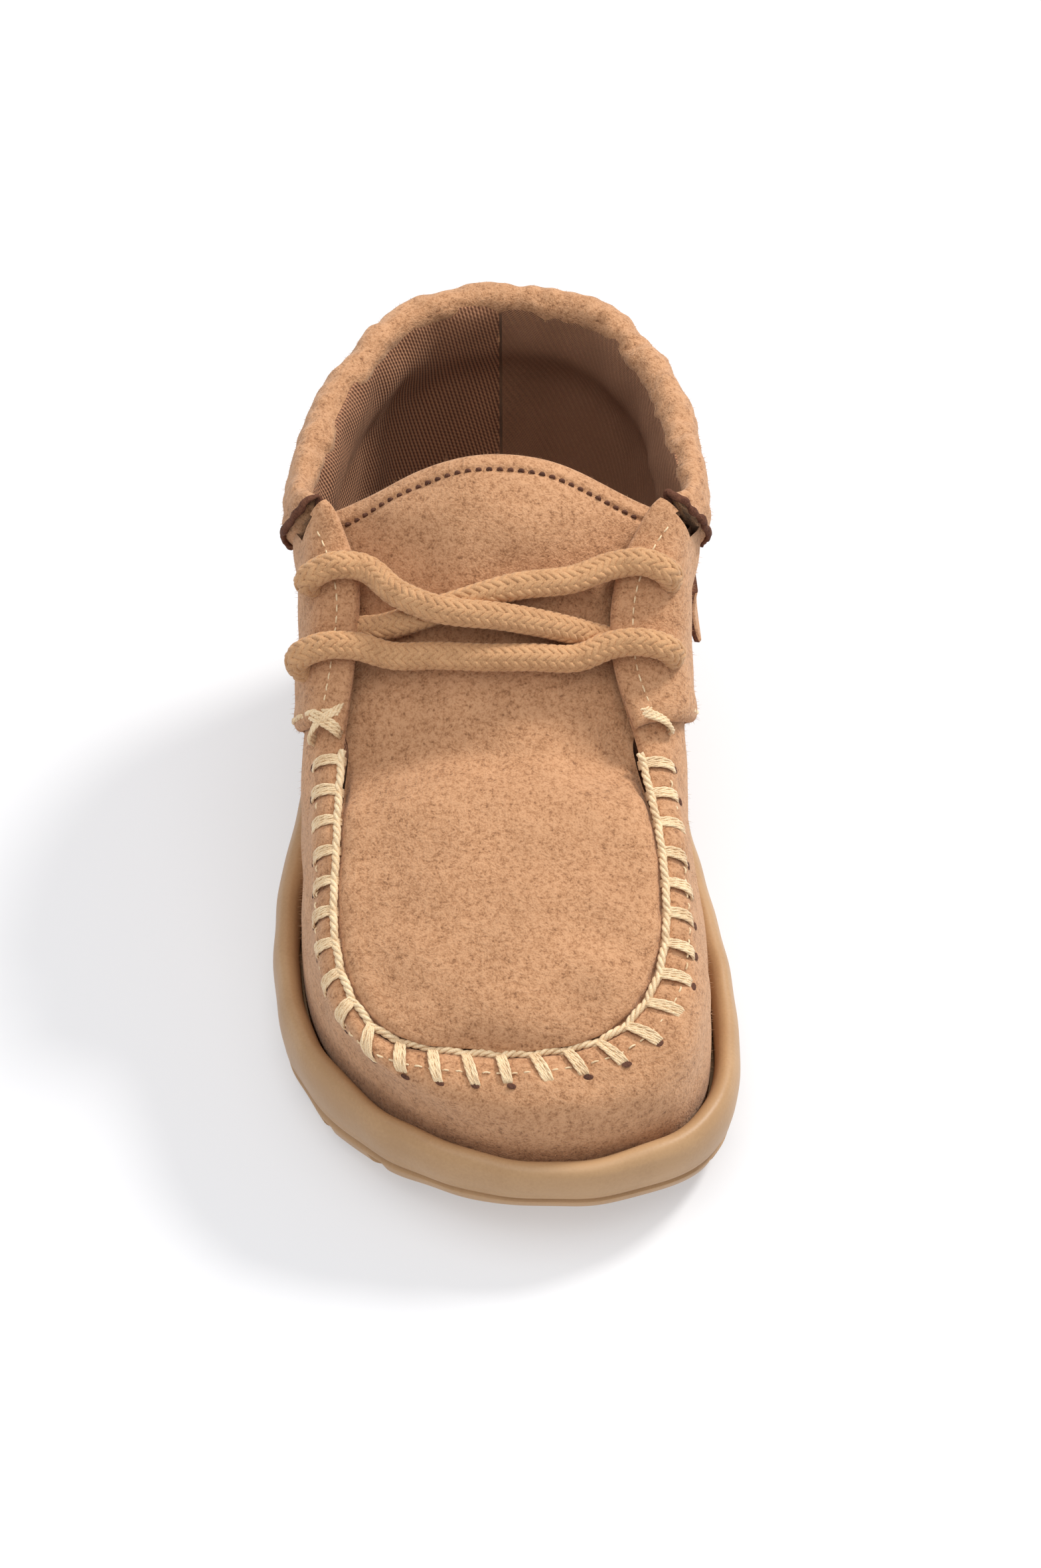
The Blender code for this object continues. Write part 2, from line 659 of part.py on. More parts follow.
# The collar's roll in section. across is a share of COLLAR_THICKNESS in from its outer face, and
# drop a share of COLLAR_HEIGHT down from its crest.
COLLAR_SECTION_COLUMNS = ("across", "drop")
COLLAR_SECTION = [
    (0.17, 1.00),
    (0.04, 0.84),
    (0.00, 0.55),
    (0.06, 0.26),
    (0.22, 0.06),
    (0.46, 0.00),
    (0.70, 0.06),
    (0.91, 0.26),
    (1.00, 0.55),
    (0.96, 0.84),
    (0.80, 1.00),
]
COLLAR_PROUD = 1.1 * MM
COLLAR_END_THICKNESS = 0.58
COLLAR_SLIM_WAY = 0.30
COLLAR_END_WAY = CORNER_WAY - 0.016
COLLAR_STOPS = [(0.0, 10), (0.34, 7), (COLLAR_END_WAY, 1)]


def make_collar():
    """The padded roll round the opening, thinner towards its blunt front ends."""
    way = mirrored(stations(COLLAR_STOPS))[:, None]
    section = columns_of(COLLAR_SECTION_COLUMNS, COLLAR_SECTION)
    slimmer = (1 - COLLAR_END_THICKNESS) * ramp(np.abs(way), COLLAR_SLIM_WAY, CORNER_WAY)
    thickness = COLLAR_THICKNESS * (1 - slimmer)
    out = GAP + OVERLAY_THICKNESS + COLLAR_PROUD - thickness * section["across"]
    rise = 1 - (COLLAR_HEIGHT - COLLAR_SEAT_PLAY) / wall_length(way) * section["drop"]
    sections = offset_surface(way, rise, out)
    points, faces = loft(sections, ring=False)
    return mesh_object("collar", points, faces, SUEDE, SUEDE_ROUGHNESS)


# The eyelets: way of each, and its distance down the facing from the facing's edge.
EYELETS = [(0.497, 5.2 * MM), (0.562, 6.5 * MM)]
UPPER_EYELET, LOWER_EYELET = EYELETS


def eyelet_rise(way, inset):
    """The rise of an eyelet on the facing."""
    return 1 - inset / wall_length(way)


def eyelet_cutter(side, row):
    """A round bar through the facing at one eyelet."""
    way = np.array(side * row[0])
    point, normal, _ = surface_frame(way, eyelet_rise(way, row[1]))
    bpy.ops.mesh.primitive_cylinder_add(
        vertices=16,
        radius=EYELET_RADIUS,
        depth=4 * (UPPER_WALL + OVERLAY_THICKNESS),
        location=point,
        rotation=Vector(normal).to_track_quat("Z", "Y").to_euler(),
    )
    cutter = bpy.context.object
    cutter.name = "eyelet_cutter"
    bpy.context.view_layer.update()
    return cutter


LACE_RADIUS = LACE_DIAMETER / 2
LACE_SIDES = 10
LACE_STEPS = 22


def over_facing(side, row, beyond):
    """The lace's middle over an eyelet. beyond is a share of the way from there to the facing's edge."""
    way = np.array(side * row[0])
    rise = eyelet_rise(way, row[1] * (1 - beyond))
    return offset_surface(way, rise, LACE_PLAY + OVERLAY_THICKNESS + LACE_RADIUS)


def over_tongue(way, across, lift):
    """The lace's middle over the tongue. lift is a share of LACE_DIAMETER off the tongue."""
    way, across = np.array(way), np.array(across)
    out = GAP + LACE_RADIUS + lift * LACE_DIAMETER
    return apron_top(way, across) + apron_normal(way, across) * out


def tube(name, path):
    """A round cord along a smooth curve through path."""
    path = np.array(path)
    along = np.concatenate([[0], np.cumsum(np.linalg.norm(np.diff(path, axis=0), axis=1))])
    at = np.linspace(0, along[-1], LACE_STEPS)
    middle = smooth_through(along, path, at)
    ahead = np.gradient(middle, axis=0)
    ahead /= np.linalg.norm(ahead, axis=1, keepdims=True)
    side = np.cross(ahead, [0, 0, 1.0])
    side /= np.linalg.norm(side, axis=1, keepdims=True)
    rise = np.cross(side, ahead)
    turn = np.linspace(0, 2 * math.pi, LACE_SIDES, endpoint=False)[None, :, None]
    sections = middle[:, None] + LACE_RADIUS * (np.cos(turn) * side[:, None] + np.sin(turn) * rise[:, None])
    points, faces = loft(sections, ring=False)
    return mesh_object(name, points, faces, LACE_COLOUR, LACE_ROUGHNESS)


# The lace over the tongue: the bar between the lower eyelets, the run that starts at the upper
# inner eyelet, and the run over it from the upper outer eyelet. lift is a share of LACE_DIAMETER.
LACE_COLUMNS = ("way", "across", "lift")
BAR_RUN = [
    (0.570, -0.6, 0.29),
    (0.572, -0.3, 0.12),
    (0.575, 0.0, 0.07),
    (0.575, 0.3, 0.12),
    (0.575, 0.6, 0.29),
]
UNDER_RUN = [
    (0.508, 0.55, 0.29),
    (0.517, 0.2, 0.10),
    (0.532, -0.2, 0.07),
    (0.545, -0.6, 0.07),
]
OVER_RUN = [
    (0.522, -0.55, 0.75),
    (0.537, -0.3, 0.85),
    (0.543, 0.1, 0.40),
    (0.548, 0.4, 0.14),
    (0.555, 0.7, 0.10),
]
LACE_FACING_STEPS = (0.2, 0.85)


def make_lace():
    """The bar between the lower eyelets and the two runs that cross above it, joined where they touch."""

    def crossing(rows):
        return [over_tongue(*row) for row in rows]

    def from_eyelet(side, row):
        return [over_facing(side, row, beyond) for beyond in LACE_FACING_STEPS]

    bar = tube("lace", from_eyelet(-1, LOWER_EYELET) + crossing(BAR_RUN) + from_eyelet(1, LOWER_EYELET)[::-1])
    under_run = tube("under_run", from_eyelet(1, UPPER_EYELET) + crossing(UNDER_RUN))
    over_run = tube("over_run", from_eyelet(-1, UPPER_EYELET) + crossing(OVER_RUN))
    cut(bar, over_run, "UNION")
    cut(bar, under_run, "UNION")
    return bar


TAG_WAY = 0.362
TAG_RISE = 0.60


def make_side_tab():
    """A small suede tag sewn to the inner quarter by its upper end, with its lower end standing out."""
    width = TAG_WIDTH / 2 / wall_reach()
    way = TAG_WAY + np.linspace(-width, width, 5)[None, :]
    drop = np.linspace(0, 1, 6)[:, None]
    rise = TAG_RISE - drop * TAG_LENGTH / wall_length(way)
    stand = GAP + OVERLAY_THICKNESS + GAP + TAG_STAND * drop**2
    inner = offset_surface(way, rise, stand)
    outer = offset_surface(way, rise, stand + TAG_THICKNESS)
    points, faces = two_sided(outer, inner, ring=False)
    return mesh_object("side_tab", points, faces, SUEDE, SUEDE_ROUGHNESS)


for old in list(bpy.data.objects):
    bpy.data.objects.remove(old)
make_outsole()
make_insole()
make_upper()
make_quarter("quarter_left", -1)
make_quarter("quarter_right", 1)
make_apron_tongue()
make_collar()
make_lace()
make_side_tab()
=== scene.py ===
import math

import bmesh
import bpy
import numpy as np
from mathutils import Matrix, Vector


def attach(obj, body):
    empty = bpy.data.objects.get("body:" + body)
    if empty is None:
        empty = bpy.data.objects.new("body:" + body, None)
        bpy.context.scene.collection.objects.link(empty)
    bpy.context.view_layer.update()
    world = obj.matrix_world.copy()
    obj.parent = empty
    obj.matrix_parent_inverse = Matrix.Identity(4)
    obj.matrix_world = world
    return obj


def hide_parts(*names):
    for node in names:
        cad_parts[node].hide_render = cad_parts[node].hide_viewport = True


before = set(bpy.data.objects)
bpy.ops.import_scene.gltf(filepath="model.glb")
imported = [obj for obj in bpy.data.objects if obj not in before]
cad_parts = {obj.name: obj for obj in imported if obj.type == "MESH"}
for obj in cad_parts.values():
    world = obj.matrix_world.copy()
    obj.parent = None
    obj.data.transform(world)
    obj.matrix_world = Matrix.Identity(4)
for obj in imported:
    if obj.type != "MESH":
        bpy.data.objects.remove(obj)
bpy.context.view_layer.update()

# Toddler's moccasin boot, right shoe. Metres, +Z up, toe to -Y, big toe on the +X side.
MM = 0.001
OUTSOLE_LENGTH = 134 * MM
OUTSOLE_WIDTH = 66 * MM
LIP_HEIGHT_BALL = 13 * MM
LIP_HEIGHT_HEEL = 16 * MM
LIP_HEIGHT_TOE = 16 * MM
LIP_WIDTH = 3.9 * MM
TOE_SPRING = 8 * MM
HEEL_SPRING = 1.6 * MM
ARCH_LIFT = 1.2 * MM
CUP_DEPTH = 5 * MM
TREAD_GROOVE_WIDTH = 2.4 * MM
TREAD_GROOVE_DEPTH = 1.8 * MM
TREAD_PITCH = 8.5 * MM
TREAD_REACH = 0.84
COLLAR_TOP_HEIGHT = 63 * MM
UPPER_WALL = 1.6 * MM
OVERLAY_THICKNESS = 1.2 * MM
APRON_THICKNESS = 1.6 * MM
COLLAR_THICKNESS = 6.8 * MM
COLLAR_HEIGHT = 12 * MM
TONGUE_TUCK = 2.4 * MM
TONGUE_DROP = 1.3 * MM
INSOLE_THICKNESS = 3 * MM
LACE_DIAMETER = 4.2 * MM
TAG_THICKNESS = 1.2 * MM
TAG_WIDTH = 8 * MM
TAG_LENGTH = 9 * MM
TAG_STAND = 2.5 * MM
GAP = 0.3 * MM
CUP_PLAY = 0.42 * MM
INSOLE_PLAY = 0.48 * MM
HALF_LENGTH = OUTSOLE_LENGTH / 2
HALF_WIDTH = OUTSOLE_WIDTH / 2
TOE_BEND_PLACE = -0.42
ARCH_FRONT_PLACES = (-0.02, 0.12)
ARCH_BACK_PLACES = (0.18, 0.32)
HEEL_BEND_PLACE = 0.82
HEEL_LIP_PLACES = (-0.10, 0.75)

# The outsole in plan: place along it, fullness and sideways swing.
SOLE_PLAN = np.array([
    (-1.00, 1.310, 0.200),
    (-0.92, 1.355, 0.200),
    (-0.80, 1.300, 0.155),
    (-0.60, 1.190, 0.065),
    (-0.40, 1.087, 0.006),
    (-0.15, 0.972, -0.035),
    (0.10, 0.885, -0.045),
    (0.35, 0.870, -0.045),
    (0.60, 0.985, -0.024),
    (0.80, 1.140, -0.005),
    (1.00, 1.190, 0.000),
])
# The wall round the last, from the heel, way 0, to the toe, way 1: foot, inner, outer, place, height,
# round, shoulder, inner bulge, outer bulge.
WALL_SECTIONS = [
    (0.00, 0.000, 0.000, 0.000, 0.950, 1.030, 0.10, 2.0, 0.050, 0.050),
    (0.12, 0.140, 0.465, 0.430, 0.880, 1.025, 0.10, 2.0, 0.050, 0.050),
    (0.24, 0.265, 0.735, 0.717, 0.655, 1.010, 0.15, 2.0, 0.050, 0.050),
    (0.34, 0.365, 0.820, 0.840, 0.437, 1.003, 0.25, 2.0, 0.040, 0.040),
    (0.41, 0.425, 0.790, 0.830, 0.299, 1.012, 0.50, 2.3, 0.080, 0.050),
    (0.45, 0.448, 0.670, 0.735, 0.243, 1.020, 0.75, 2.8, 0.105, 0.065),
    (0.51, 0.476, 0.500, 0.615, 0.120, 0.922, 0.92, 3.6, 0.105, 0.060),
    (0.57, 0.506, 0.470, 0.620, -0.015, 0.816, 0.95, 3.8, 0.080, 0.040),
    (0.64, 0.545, 0.585, 0.680, -0.177, 0.686, 0.92, 3.0, 0.040, 0.025),
    (0.72, 0.615, 0.672, 0.703, -0.383, 0.600, 0.85, 2.2, 0.015, 0.010),
    (0.80, 0.695, 0.680, 0.703, -0.578, 0.522, 0.85, 2.0, 0.030, 0.030),
    (0.86, 0.765, 0.610, 0.633, -0.692, 0.476, 0.85, 2.0, 0.060, 0.060),
    (0.92, 0.850, 0.440, 0.470, -0.775, 0.441, 0.85, 2.0, 0.080, 0.080),
    (1.00, 1.000, 0.020, -0.020, -0.811, 0.425, 0.85, 2.0, 0.080, 0.080),
]
BULGE_HEIGHT = 1.7
CORNER_WAY = 0.45
QUARTER_END_WAY = 0.626
SEAM_END_WAY = 0.64
TUCK_START_WAY = 0.70
TUCK_END_WAY = 0.60
QUARTER_EDGE = np.array([(0.0, 0.440), (0.37, 0.520), (0.6, 0.580), (0.78, 0.610), (1.0, QUARTER_END_WAY)])
QUARTER_FOOT_RISE = 0.03
APRON_CROWNS = np.array([
    (0.42, 0.42),
    (0.48, 0.38),
    (0.52, 0.34),
    (0.56, 0.30),
    (0.60, 0.26),
    (0.66, 0.21),
    (0.80, 0.19),
    (0.92, 0.18),
    (0.985, 0.10),
])
TONGUE_EDGE_FLATNESS = 0.4
TONGUE_TOP_WAY = 0.432
# The collar's roll: across a share of its thickness from outside, drop a share of its height.
COLLAR_SECTION = np.array([
    (0.17, 1.00),
    (0.04, 0.84),
    (0.00, 0.55),
    (0.06, 0.26),
    (0.22, 0.06),
    (0.46, 0.00),
    (0.70, 0.06),
    (0.91, 0.26),
    (1.00, 0.55),
    (0.96, 0.84),
    (0.80, 1.00),
])
COLLAR_PROUD = 1.1 * MM
COLLAR_END_THICKNESS = 0.58
COLLAR_SLIM_WAY = 0.30
COLLAR_END_WAY = CORNER_WAY - 0.016
UPPER_EYELET = (0.497, 5.2 * MM)
LOWER_EYELET = (0.562, 6.5 * MM)
TAG_WAY = 0.362
TAG_RISE = 0.60


# ---- The last's surface ----
def smooth_through(knots, values, at, period=None):
    """A smooth curve through values at knots. Each knot's slope comes from its two neighbours."""
    knots, values = np.asarray(knots, float), np.asarray(values, float)
    if period:
        at = knots[0] + np.mod(np.asarray(at, float) - knots[0], period)
        knots = np.concatenate([[knots[-1] - period], knots, knots[:2] + period])
        values = np.concatenate([values[-1:], values, values[:2]])
    step = np.diff(knots)
    run = np.diff(values, axis=0) / step[:, None]
    slope = np.empty_like(values)
    slope[1:-1] = (run[1:] * step[:-1, None] + run[:-1] * step[1:, None]) / (step[1:] + step[:-1])[:, None]
    slope[0], slope[-1] = run[0], run[-1]
    at = np.clip(np.asarray(at, float), knots[0], knots[-1])
    k = np.clip(np.searchsorted(knots, at, side="right") - 1, 0, len(step) - 1)
    h = step[k][..., None]
    t = ((at - knots[k]) / step[k])[..., None]
    return (
        values[k] * (1 + 2 * t) * (1 - t) ** 2
        + values[k + 1] * t**2 * (3 - 2 * t)
        + slope[k] * h * t * (1 - t) ** 2
        - slope[k + 1] * h * t**2 * (1 - t)
    )


def ramp(value, start, end):
    """0 before start, 1 after end, and smooth in between."""
    t = np.clip((np.asarray(value, float) - start) / (end - start), 0, 1)
    return t * t * (3 - 2 * t)


def unit(vectors):
    return vectors / np.linalg.norm(vectors, axis=-1, keepdims=True)


def plan_raw(angle):
    place = np.cos(angle)
    shape = smooth_through(SOLE_PLAN[:, 0], SOLE_PLAN[:, 1:], place)
    x = HALF_WIDTH * (shape[..., 1] + shape[..., 0] * np.sin(angle))
    return np.stack([x, HALF_LENGTH * place], -1)


RAW_SIDES = plan_raw(np.linspace(0, 2 * math.pi, 720, endpoint=False))[:, 0]
CENTRE_SHIFT = (RAW_SIDES.max() + RAW_SIDES.min()) / 2


def plan_outline(angle):
    return plan_raw(angle) - np.array([CENTRE_SHIFT, 0])


def plan_outward(angle):
    along = unit(plan_outline(angle + 1e-3) - plan_outline(angle - 1e-3))
    return np.stack([-along[..., 1], along[..., 0]], -1)


def inset_outline(angle, inset):
    return plan_outline(angle) - plan_outward(angle) * np.asarray(inset)[..., None]


def bottom_height(y):
    place = np.asarray(y) / HALF_LENGTH
    toe = TOE_SPRING * np.clip((TOE_BEND_PLACE - place) / (TOE_BEND_PLACE + 1), 0, None) ** 2
    arch = ARCH_LIFT * ramp(place, *ARCH_FRONT_PLACES) * (1 - ramp(place, *ARCH_BACK_PLACES))
    heel = HEEL_SPRING * np.clip((place - HEEL_BEND_PLACE) / (1 - HEEL_BEND_PLACE), 0, None) ** 2
    return toe + arch + heel


def lip_height(y):
    place = np.asarray(y) / HALF_LENGTH
    heel = (LIP_HEIGHT_HEEL - LIP_HEIGHT_BALL) * ramp(place, *HEEL_LIP_PLACES)
    toe = (LIP_HEIGHT_TOE - LIP_HEIGHT_BALL) * (1 - ramp(place, -1, TOE_BEND_PLACE))
    return LIP_HEIGHT_BALL + heel + toe


def cup_floor(y):
    return lip_height(y) - CUP_DEPTH


def closed_sections():
    """The wall's table as one closed loop, outer side, heel, inner side, toe."""
    loop = [(row, -1) for row in WALL_SECTIONS[:0:-1]] + [(row, 1) for row in WALL_SECTIONS[:-1]]
    knots, values = [], []
    for (way, foot, inner, outer, place, height, bend, shoulder, bulge_in, bulge_out), sign in loop:
        across, bulge = (inner, bulge_in) if sign > 0 else (outer, bulge_out)
        knots.append(sign * way)
        values.append((sign * (foot - way), sign * across, place, height, bend, shoulder, bulge))
    return np.array(knots), np.array(values)


SECTION_KNOTS, SECTION_VALUES = closed_sections()


def wall_terms(way):
    way = np.asarray(way, float)
    terms = smooth_through(SECTION_KNOTS, SECTION_VALUES, way, period=2.0)
    terms[..., 0] += way
    return terms


def wall_point(way, climb_share):
    """The wall's outer face. climb_share runs from 0 at the sole's lip to 1 at the top edge."""
    way, up = np.broadcast_arrays(np.asarray(way, float), np.asarray(climb_share, float))
    terms = wall_terms(way)
    angle = math.pi * terms[..., 0]
    foot = inset_outline(angle, np.full(way.shape, LIP_WIDTH + CUP_PLAY))
    foot_z = lip_height(foot[..., 1])
    top = np.stack([HALF_WIDTH * terms[..., 1] - CENTRE_SHIFT, HALF_LENGTH * terms[..., 2]], -1)
    top_z = COLLAR_TOP_HEIGHT * terms[..., 3]
    bend, shoulder = terms[..., 4], terms[..., 5]
    turn = math.pi / 2 * up ** (shoulder / 2)
    lean = (1 - bend) * up + bend * (1 - np.clip(np.cos(turn), 0, 1) ** (2 / shoulder))
    climb = (1 - bend) * up + bend * np.sin(turn) ** (2 / shoulder)
    swell = HALF_WIDTH * terms[..., 6] * np.sin(math.pi * up**BULGE_HEIGHT)
    flat = foot + (top - foot) * lean[..., None] + plan_outward(angle) * swell[..., None]
    return np.concatenate([flat, (foot_z + (top_z - foot_z) * climb)[..., None]], -1)


LENGTH_STEPS = 96
LENGTH_WAYS = np.linspace(-1, 1, 641)
LENGTH_SHARES = np.linspace(0, 1, LENGTH_STEPS + 1)


def length_table():
    """For each of LENGTH_WAYS, the wall's length and the climb shares that divide it evenly."""
    points = wall_point(LENGTH_WAYS[:, None], LENGTH_SHARES)
    run = np.linalg.norm(np.diff(points, axis=1), axis=-1)
    run = np.concatenate([np.zeros((len(run), 1)), np.cumsum(run, axis=1)], axis=1)
    even = [np.interp(LENGTH_SHARES, row / row[-1], LENGTH_SHARES) for row in run]
    return run[:, -1], np.array(even)


WALL_LENGTHS, EVEN_CLIMB = length_table()


def wall_length(way):
    return np.interp((np.asarray(way, float) + 1) % 2 - 1, LENGTH_WAYS, WALL_LENGTHS)


def last_surface(way, rise):
    """The outer face of the wall. rise is a share of its length, and below 0 it goes straight down."""
    way, rise = np.broadcast_arrays(np.asarray(way, float), np.asarray(rise, float))
    column = ((way + 1) % 2) / 2 * (len(LENGTH_WAYS) - 1)
    row = np.clip(rise, 0, 1) * LENGTH_STEPS
    c = np.minimum(column.astype(int), len(LENGTH_WAYS) - 2)
    r = np.minimum(row.astype(int), LENGTH_STEPS - 1)
    u, v = column - c, row - r
    climb = (1 - u) * ((1 - v) * EVEN_CLIMB[c, r] + v * EVEN_CLIMB[c, r + 1])
    climb += u * ((1 - v) * EVEN_CLIMB[c + 1, r] + v * EVEN_CLIMB[c + 1, r + 1])
    point = wall_point(way, climb)
    point[..., 2] += np.minimum(rise, 0) * CUP_DEPTH
    return point


def surface_frame(way, rise):
    """Point, unit normal and unit upward tangent of the last's surface."""
    step = 2e-3
    point = last_surface(way, rise)
    along = last_surface(way + step, rise) - last_surface(way - step, rise)
    high = np.minimum(rise + step, 1)
    up = last_surface(way, high) - last_surface(way, high - 2 * step)
    return point, unit(np.cross(up, along)), unit(up)


def offset_surface(way, rise, out):
    way, rise, out = np.broadcast_arrays(*(np.asarray(v, float) for v in (way, rise, out)))
    point, normal, _ = surface_frame(way, rise)
    return point + normal * out[..., None]


def from_edge(way, depth):
    """The rise of a place that lies depth down the wall from its top edge."""
    return 1 - depth / wall_length(way)


def apron_edge(way, side):
    """The sheet's edge: flush with the toe's seam, then tucked under the upper's facing."""
    under = 1 - ramp(way, SEAM_END_WAY, TUCK_START_WAY)
    out = 1 - ramp(way, TUCK_END_WAY, SEAM_END_WAY)
    depth = -under * (UPPER_WALL + TONGUE_DROP)
    reach = out * TONGUE_TUCK - (1 - out) * GAP
    point, normal, up = surface_frame(side * way, from_edge(side * way, np.clip(reach, 0, None)))
    return point + normal * depth[..., None] - up * np.minimum(reach, 0)[..., None]


def apron_top(way, across):
    """The sheet's upper face. across runs from -1 at the outer edge to 1 at the inner one."""
    way, across = np.broadcast_arrays(np.asarray(way, float), np.asarray(across, float))
    crown = smooth_through(APRON_CROWNS[:, 0], APRON_CROWNS[:, 1:], way)[..., 0]
    left, right = apron_edge(way, -1), apron_edge(way, 1)
    step = 0.01
    along = (apron_edge(way - step, -1) + apron_edge(way - step, 1) - left - right) / 2
    along[..., 0] = 0
    along = unit(along)
    lift = np.stack([along[..., 0], -along[..., 2], along[..., 1]], -1)
    half_width = np.linalg.norm(right - left, axis=-1) / 2
    share = (across[..., None] + 1) / 2
    flat_edge = 1 + TONGUE_EDGE_FLATNESS * (1 - ramp(way, SEAM_END_WAY, TUCK_START_WAY))
    high = half_width * crown * np.clip(1 - across**2, 0, 1) ** flat_edge
    return left + (right - left) * share + lift * high[..., None]


def apron_normal(way, across):
    step = 1e-3
    along = apron_top(way - step, across) - apron_top(way + step, across)
    side = apron_top(way, across + step) - apron_top(way, across - step)
    return unit(np.cross(side, along))


# ---- Mesh making ----
def soft_noise(points, length, seed, waves=16):
    """A smooth random field about zero, with humps about length apart."""
    rng = np.random.default_rng(seed)
    heading = unit(rng.normal(size=(waves, 3)))
    pace = 2 * math.pi / length * rng.uniform(0.6, 1.4, waves)
    shift = rng.uniform(0, 2 * math.pi, waves)
    return np.sin((points @ heading.T) * pace + shift).sum(-1) / math.sqrt(waves / 2)


def edge_round(distance, radius):
    """The share of a sheet's thickness that is left near its rounded edge."""
    return np.sqrt(np.clip(1 - np.clip(1 - distance / radius, 0, 1) ** 2, 0, 1))


def bunched(start, end, count, near_start=1.0, near_end=1.0):
    """Values from start to end that lie closer together at the ends given a power over 1."""
    t = np.linspace(0, 1, count)
    low, high = t**near_start, 1 - (1 - t) ** near_end
    return start + (end - start) * (low * (1 - t) + high * t)


def mesh_piece(name, points, faces, materials, uv=None, face_materials=None):
    """A smooth mesh that rides on the shoe's body. uv holds one pair for each point, in metres."""
    mesh = bpy.data.meshes.new(name)
    mesh.from_pydata(np.asarray(points).tolist(), [], np.asarray(faces).tolist() if isinstance(faces, np.ndarray) else faces)
    for material in materials:
        mesh.materials.append(material)
    if uv is not None:
        corners = np.empty(len(mesh.loops), np.int32)
        mesh.loops.foreach_get("vertex_index", corners)
        layer = mesh.uv_layers.new(name="surface")
        layer.data.foreach_set("uv", np.asarray(uv)[corners].astype(np.float32).ravel())
    if face_materials is not None:
        mesh.polygons.foreach_set("material_index", np.asarray(face_materials, np.int32))
    mesh.shade_smooth()
    mesh.update()
    piece = bpy.data.objects.new(name, mesh)
    bpy.context.scene.collection.objects.link(piece)
    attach(piece, "root")
    return piece


def grid_quads(rows, columns, ring=False, start=0):
    r = np.arange(rows - 1)[:, None]
    c = np.arange(columns if ring else columns - 1)[None, :]
    d = (c + 1) % columns
    quads = np.stack([r * columns + c, r * columns + d, (r + 1) * columns + d, (r + 1) * columns + c], -1)
    return quads.reshape(-1, 4) + start


def closed_sheet(outer, inner, ring=False):
    """Points and quads between two grids of one shape, with the edges closed."""
    rows, columns = outer.shape[:2]
    half = rows * columns
    points = np.concatenate([outer.reshape(-1, 3), inner.reshape(-1, 3)])
    quads = [grid_quads(rows, columns, ring), grid_quads(rows, columns, ring, half)[:, ::-1]]
    c = np.arange(columns if ring else columns - 1)
    d = (c + 1) % columns
    for row, turn in ((0, 1), (rows - 1, -1)):
        a, b = row * columns + c, row * columns + d
        quads.append(np.stack([b, a, a + half, b + half], -1)[:, ::turn])
    if not ring:
        r = np.arange(rows - 1) * columns
        for side, turn in ((0, 1), (columns - 1, -1)):
            a, b = r + side, r + side + columns
            quads.append(np.stack([a, b, b + half, a + half], -1)[:, ::turn])
    return points, np.concatenate(quads)


def outward(piece):
    """Turns the faces of a closed mesh outwards."""
    bm = bmesh.new()
    bm.from_mesh(piece.data)
    bmesh.ops.recalc_face_normals(bm, faces=bm.faces)
    bm.to_mesh(piece.data)
    bm.free()
    return piece


def tube_sections(path, normal, radius, sides, flat=1.0):
    """Rings round each path. path and normal are (tubes, steps, 3), radius broadcasts over (tubes, steps)."""
    ahead = unit(np.gradient(path, axis=1))
    side = unit(np.cross(ahead, normal))
    up = np.cross(side, ahead)
    turn = np.linspace(0, 2 * math.pi, sides, endpoint=False)
    radius = np.broadcast_to(np.asarray(radius, float), path.shape[:2])[..., None, None]
    flat = np.broadcast_to(np.asarray(flat, float), path.shape[:2])[..., None, None]
    ring = np.cos(turn)[:, None] * side[:, :, None] + flat * np.sin(turn)[:, None] * up[:, :, None]
    return path[:, :, None] + radius * ring


def joined_tubes(sections):
    """Points and faces of capped tubes from rings shaped (tubes, steps, sides, 3)."""
    tubes, steps, sides = sections.shape[:3]
    one = grid_quads(steps, sides, ring=True)
    starts = np.arange(tubes) * steps * sides
    faces = (one[None] + starts[:, None, None]).reshape(-1, 4).tolist()
    for start in starts.tolist():
        faces.append(list(range(start, start + sides))[::-1])
        last = start + (steps - 1) * sides
        faces.append(list(range(last, last + sides)))
    return sections.reshape(-1, 3), faces


def merged(parts):
    """Several (points, faces) lists as one."""
    points, faces, start = [], [], 0
    for some, theirs in parts:
        points.append(np.asarray(some))
        faces += [[i + start for i in face] for face in theirs]
        start += len(some)
    return np.concatenate(points), faces


# ---- Materials ----
def srgb(r, g, b):
    """A colour as read off a screen, 0 to 255, in linear light."""
    return tuple(((v / 255 + 0.055) / 1.055) ** 2.4 if v > 10 else v / 255 / 12.92 for v in (r, g, b)) + (1,)


def add_node(tree, kind, inputs=None, **settings):
    made = tree.nodes.new(kind)
    for key, value in settings.items():
        setattr(made, key, value)
    for key, value in (inputs or {}).items():
        if isinstance(value, bpy.types.NodeSocket):
            tree.links.new(value, made.inputs[key])
        else:
            made.inputs[key].default_value = value
    return made


def math_node(tree, operation, a, b=0.0, clamp=False):
    return add_node(tree, "ShaderNodeMath", {0: a, 1: b}, operation=operation, use_clamp=clamp).outputs[0]


def mix_colour(tree, share, a, b, blend="MIX"):
    made = add_node(tree, "ShaderNodeMix", data_type="RGBA", blend_type=blend)
    for key, value in ((0, share), (6, a), (7, b)):
        if isinstance(value, bpy.types.NodeSocket):
            tree.links.new(value, made.inputs[key])
        else:
            made.inputs[key].default_value = value
    return made.outputs[2]


def stepped(tree, value, low, high):
    """0 under low, 1 over high, and smooth between them."""
    made = add_node(tree, "ShaderNodeMapRange", {0: value, 1: low, 2: high}, interpolation_type="SMOOTHSTEP")
    return made.outputs[0]


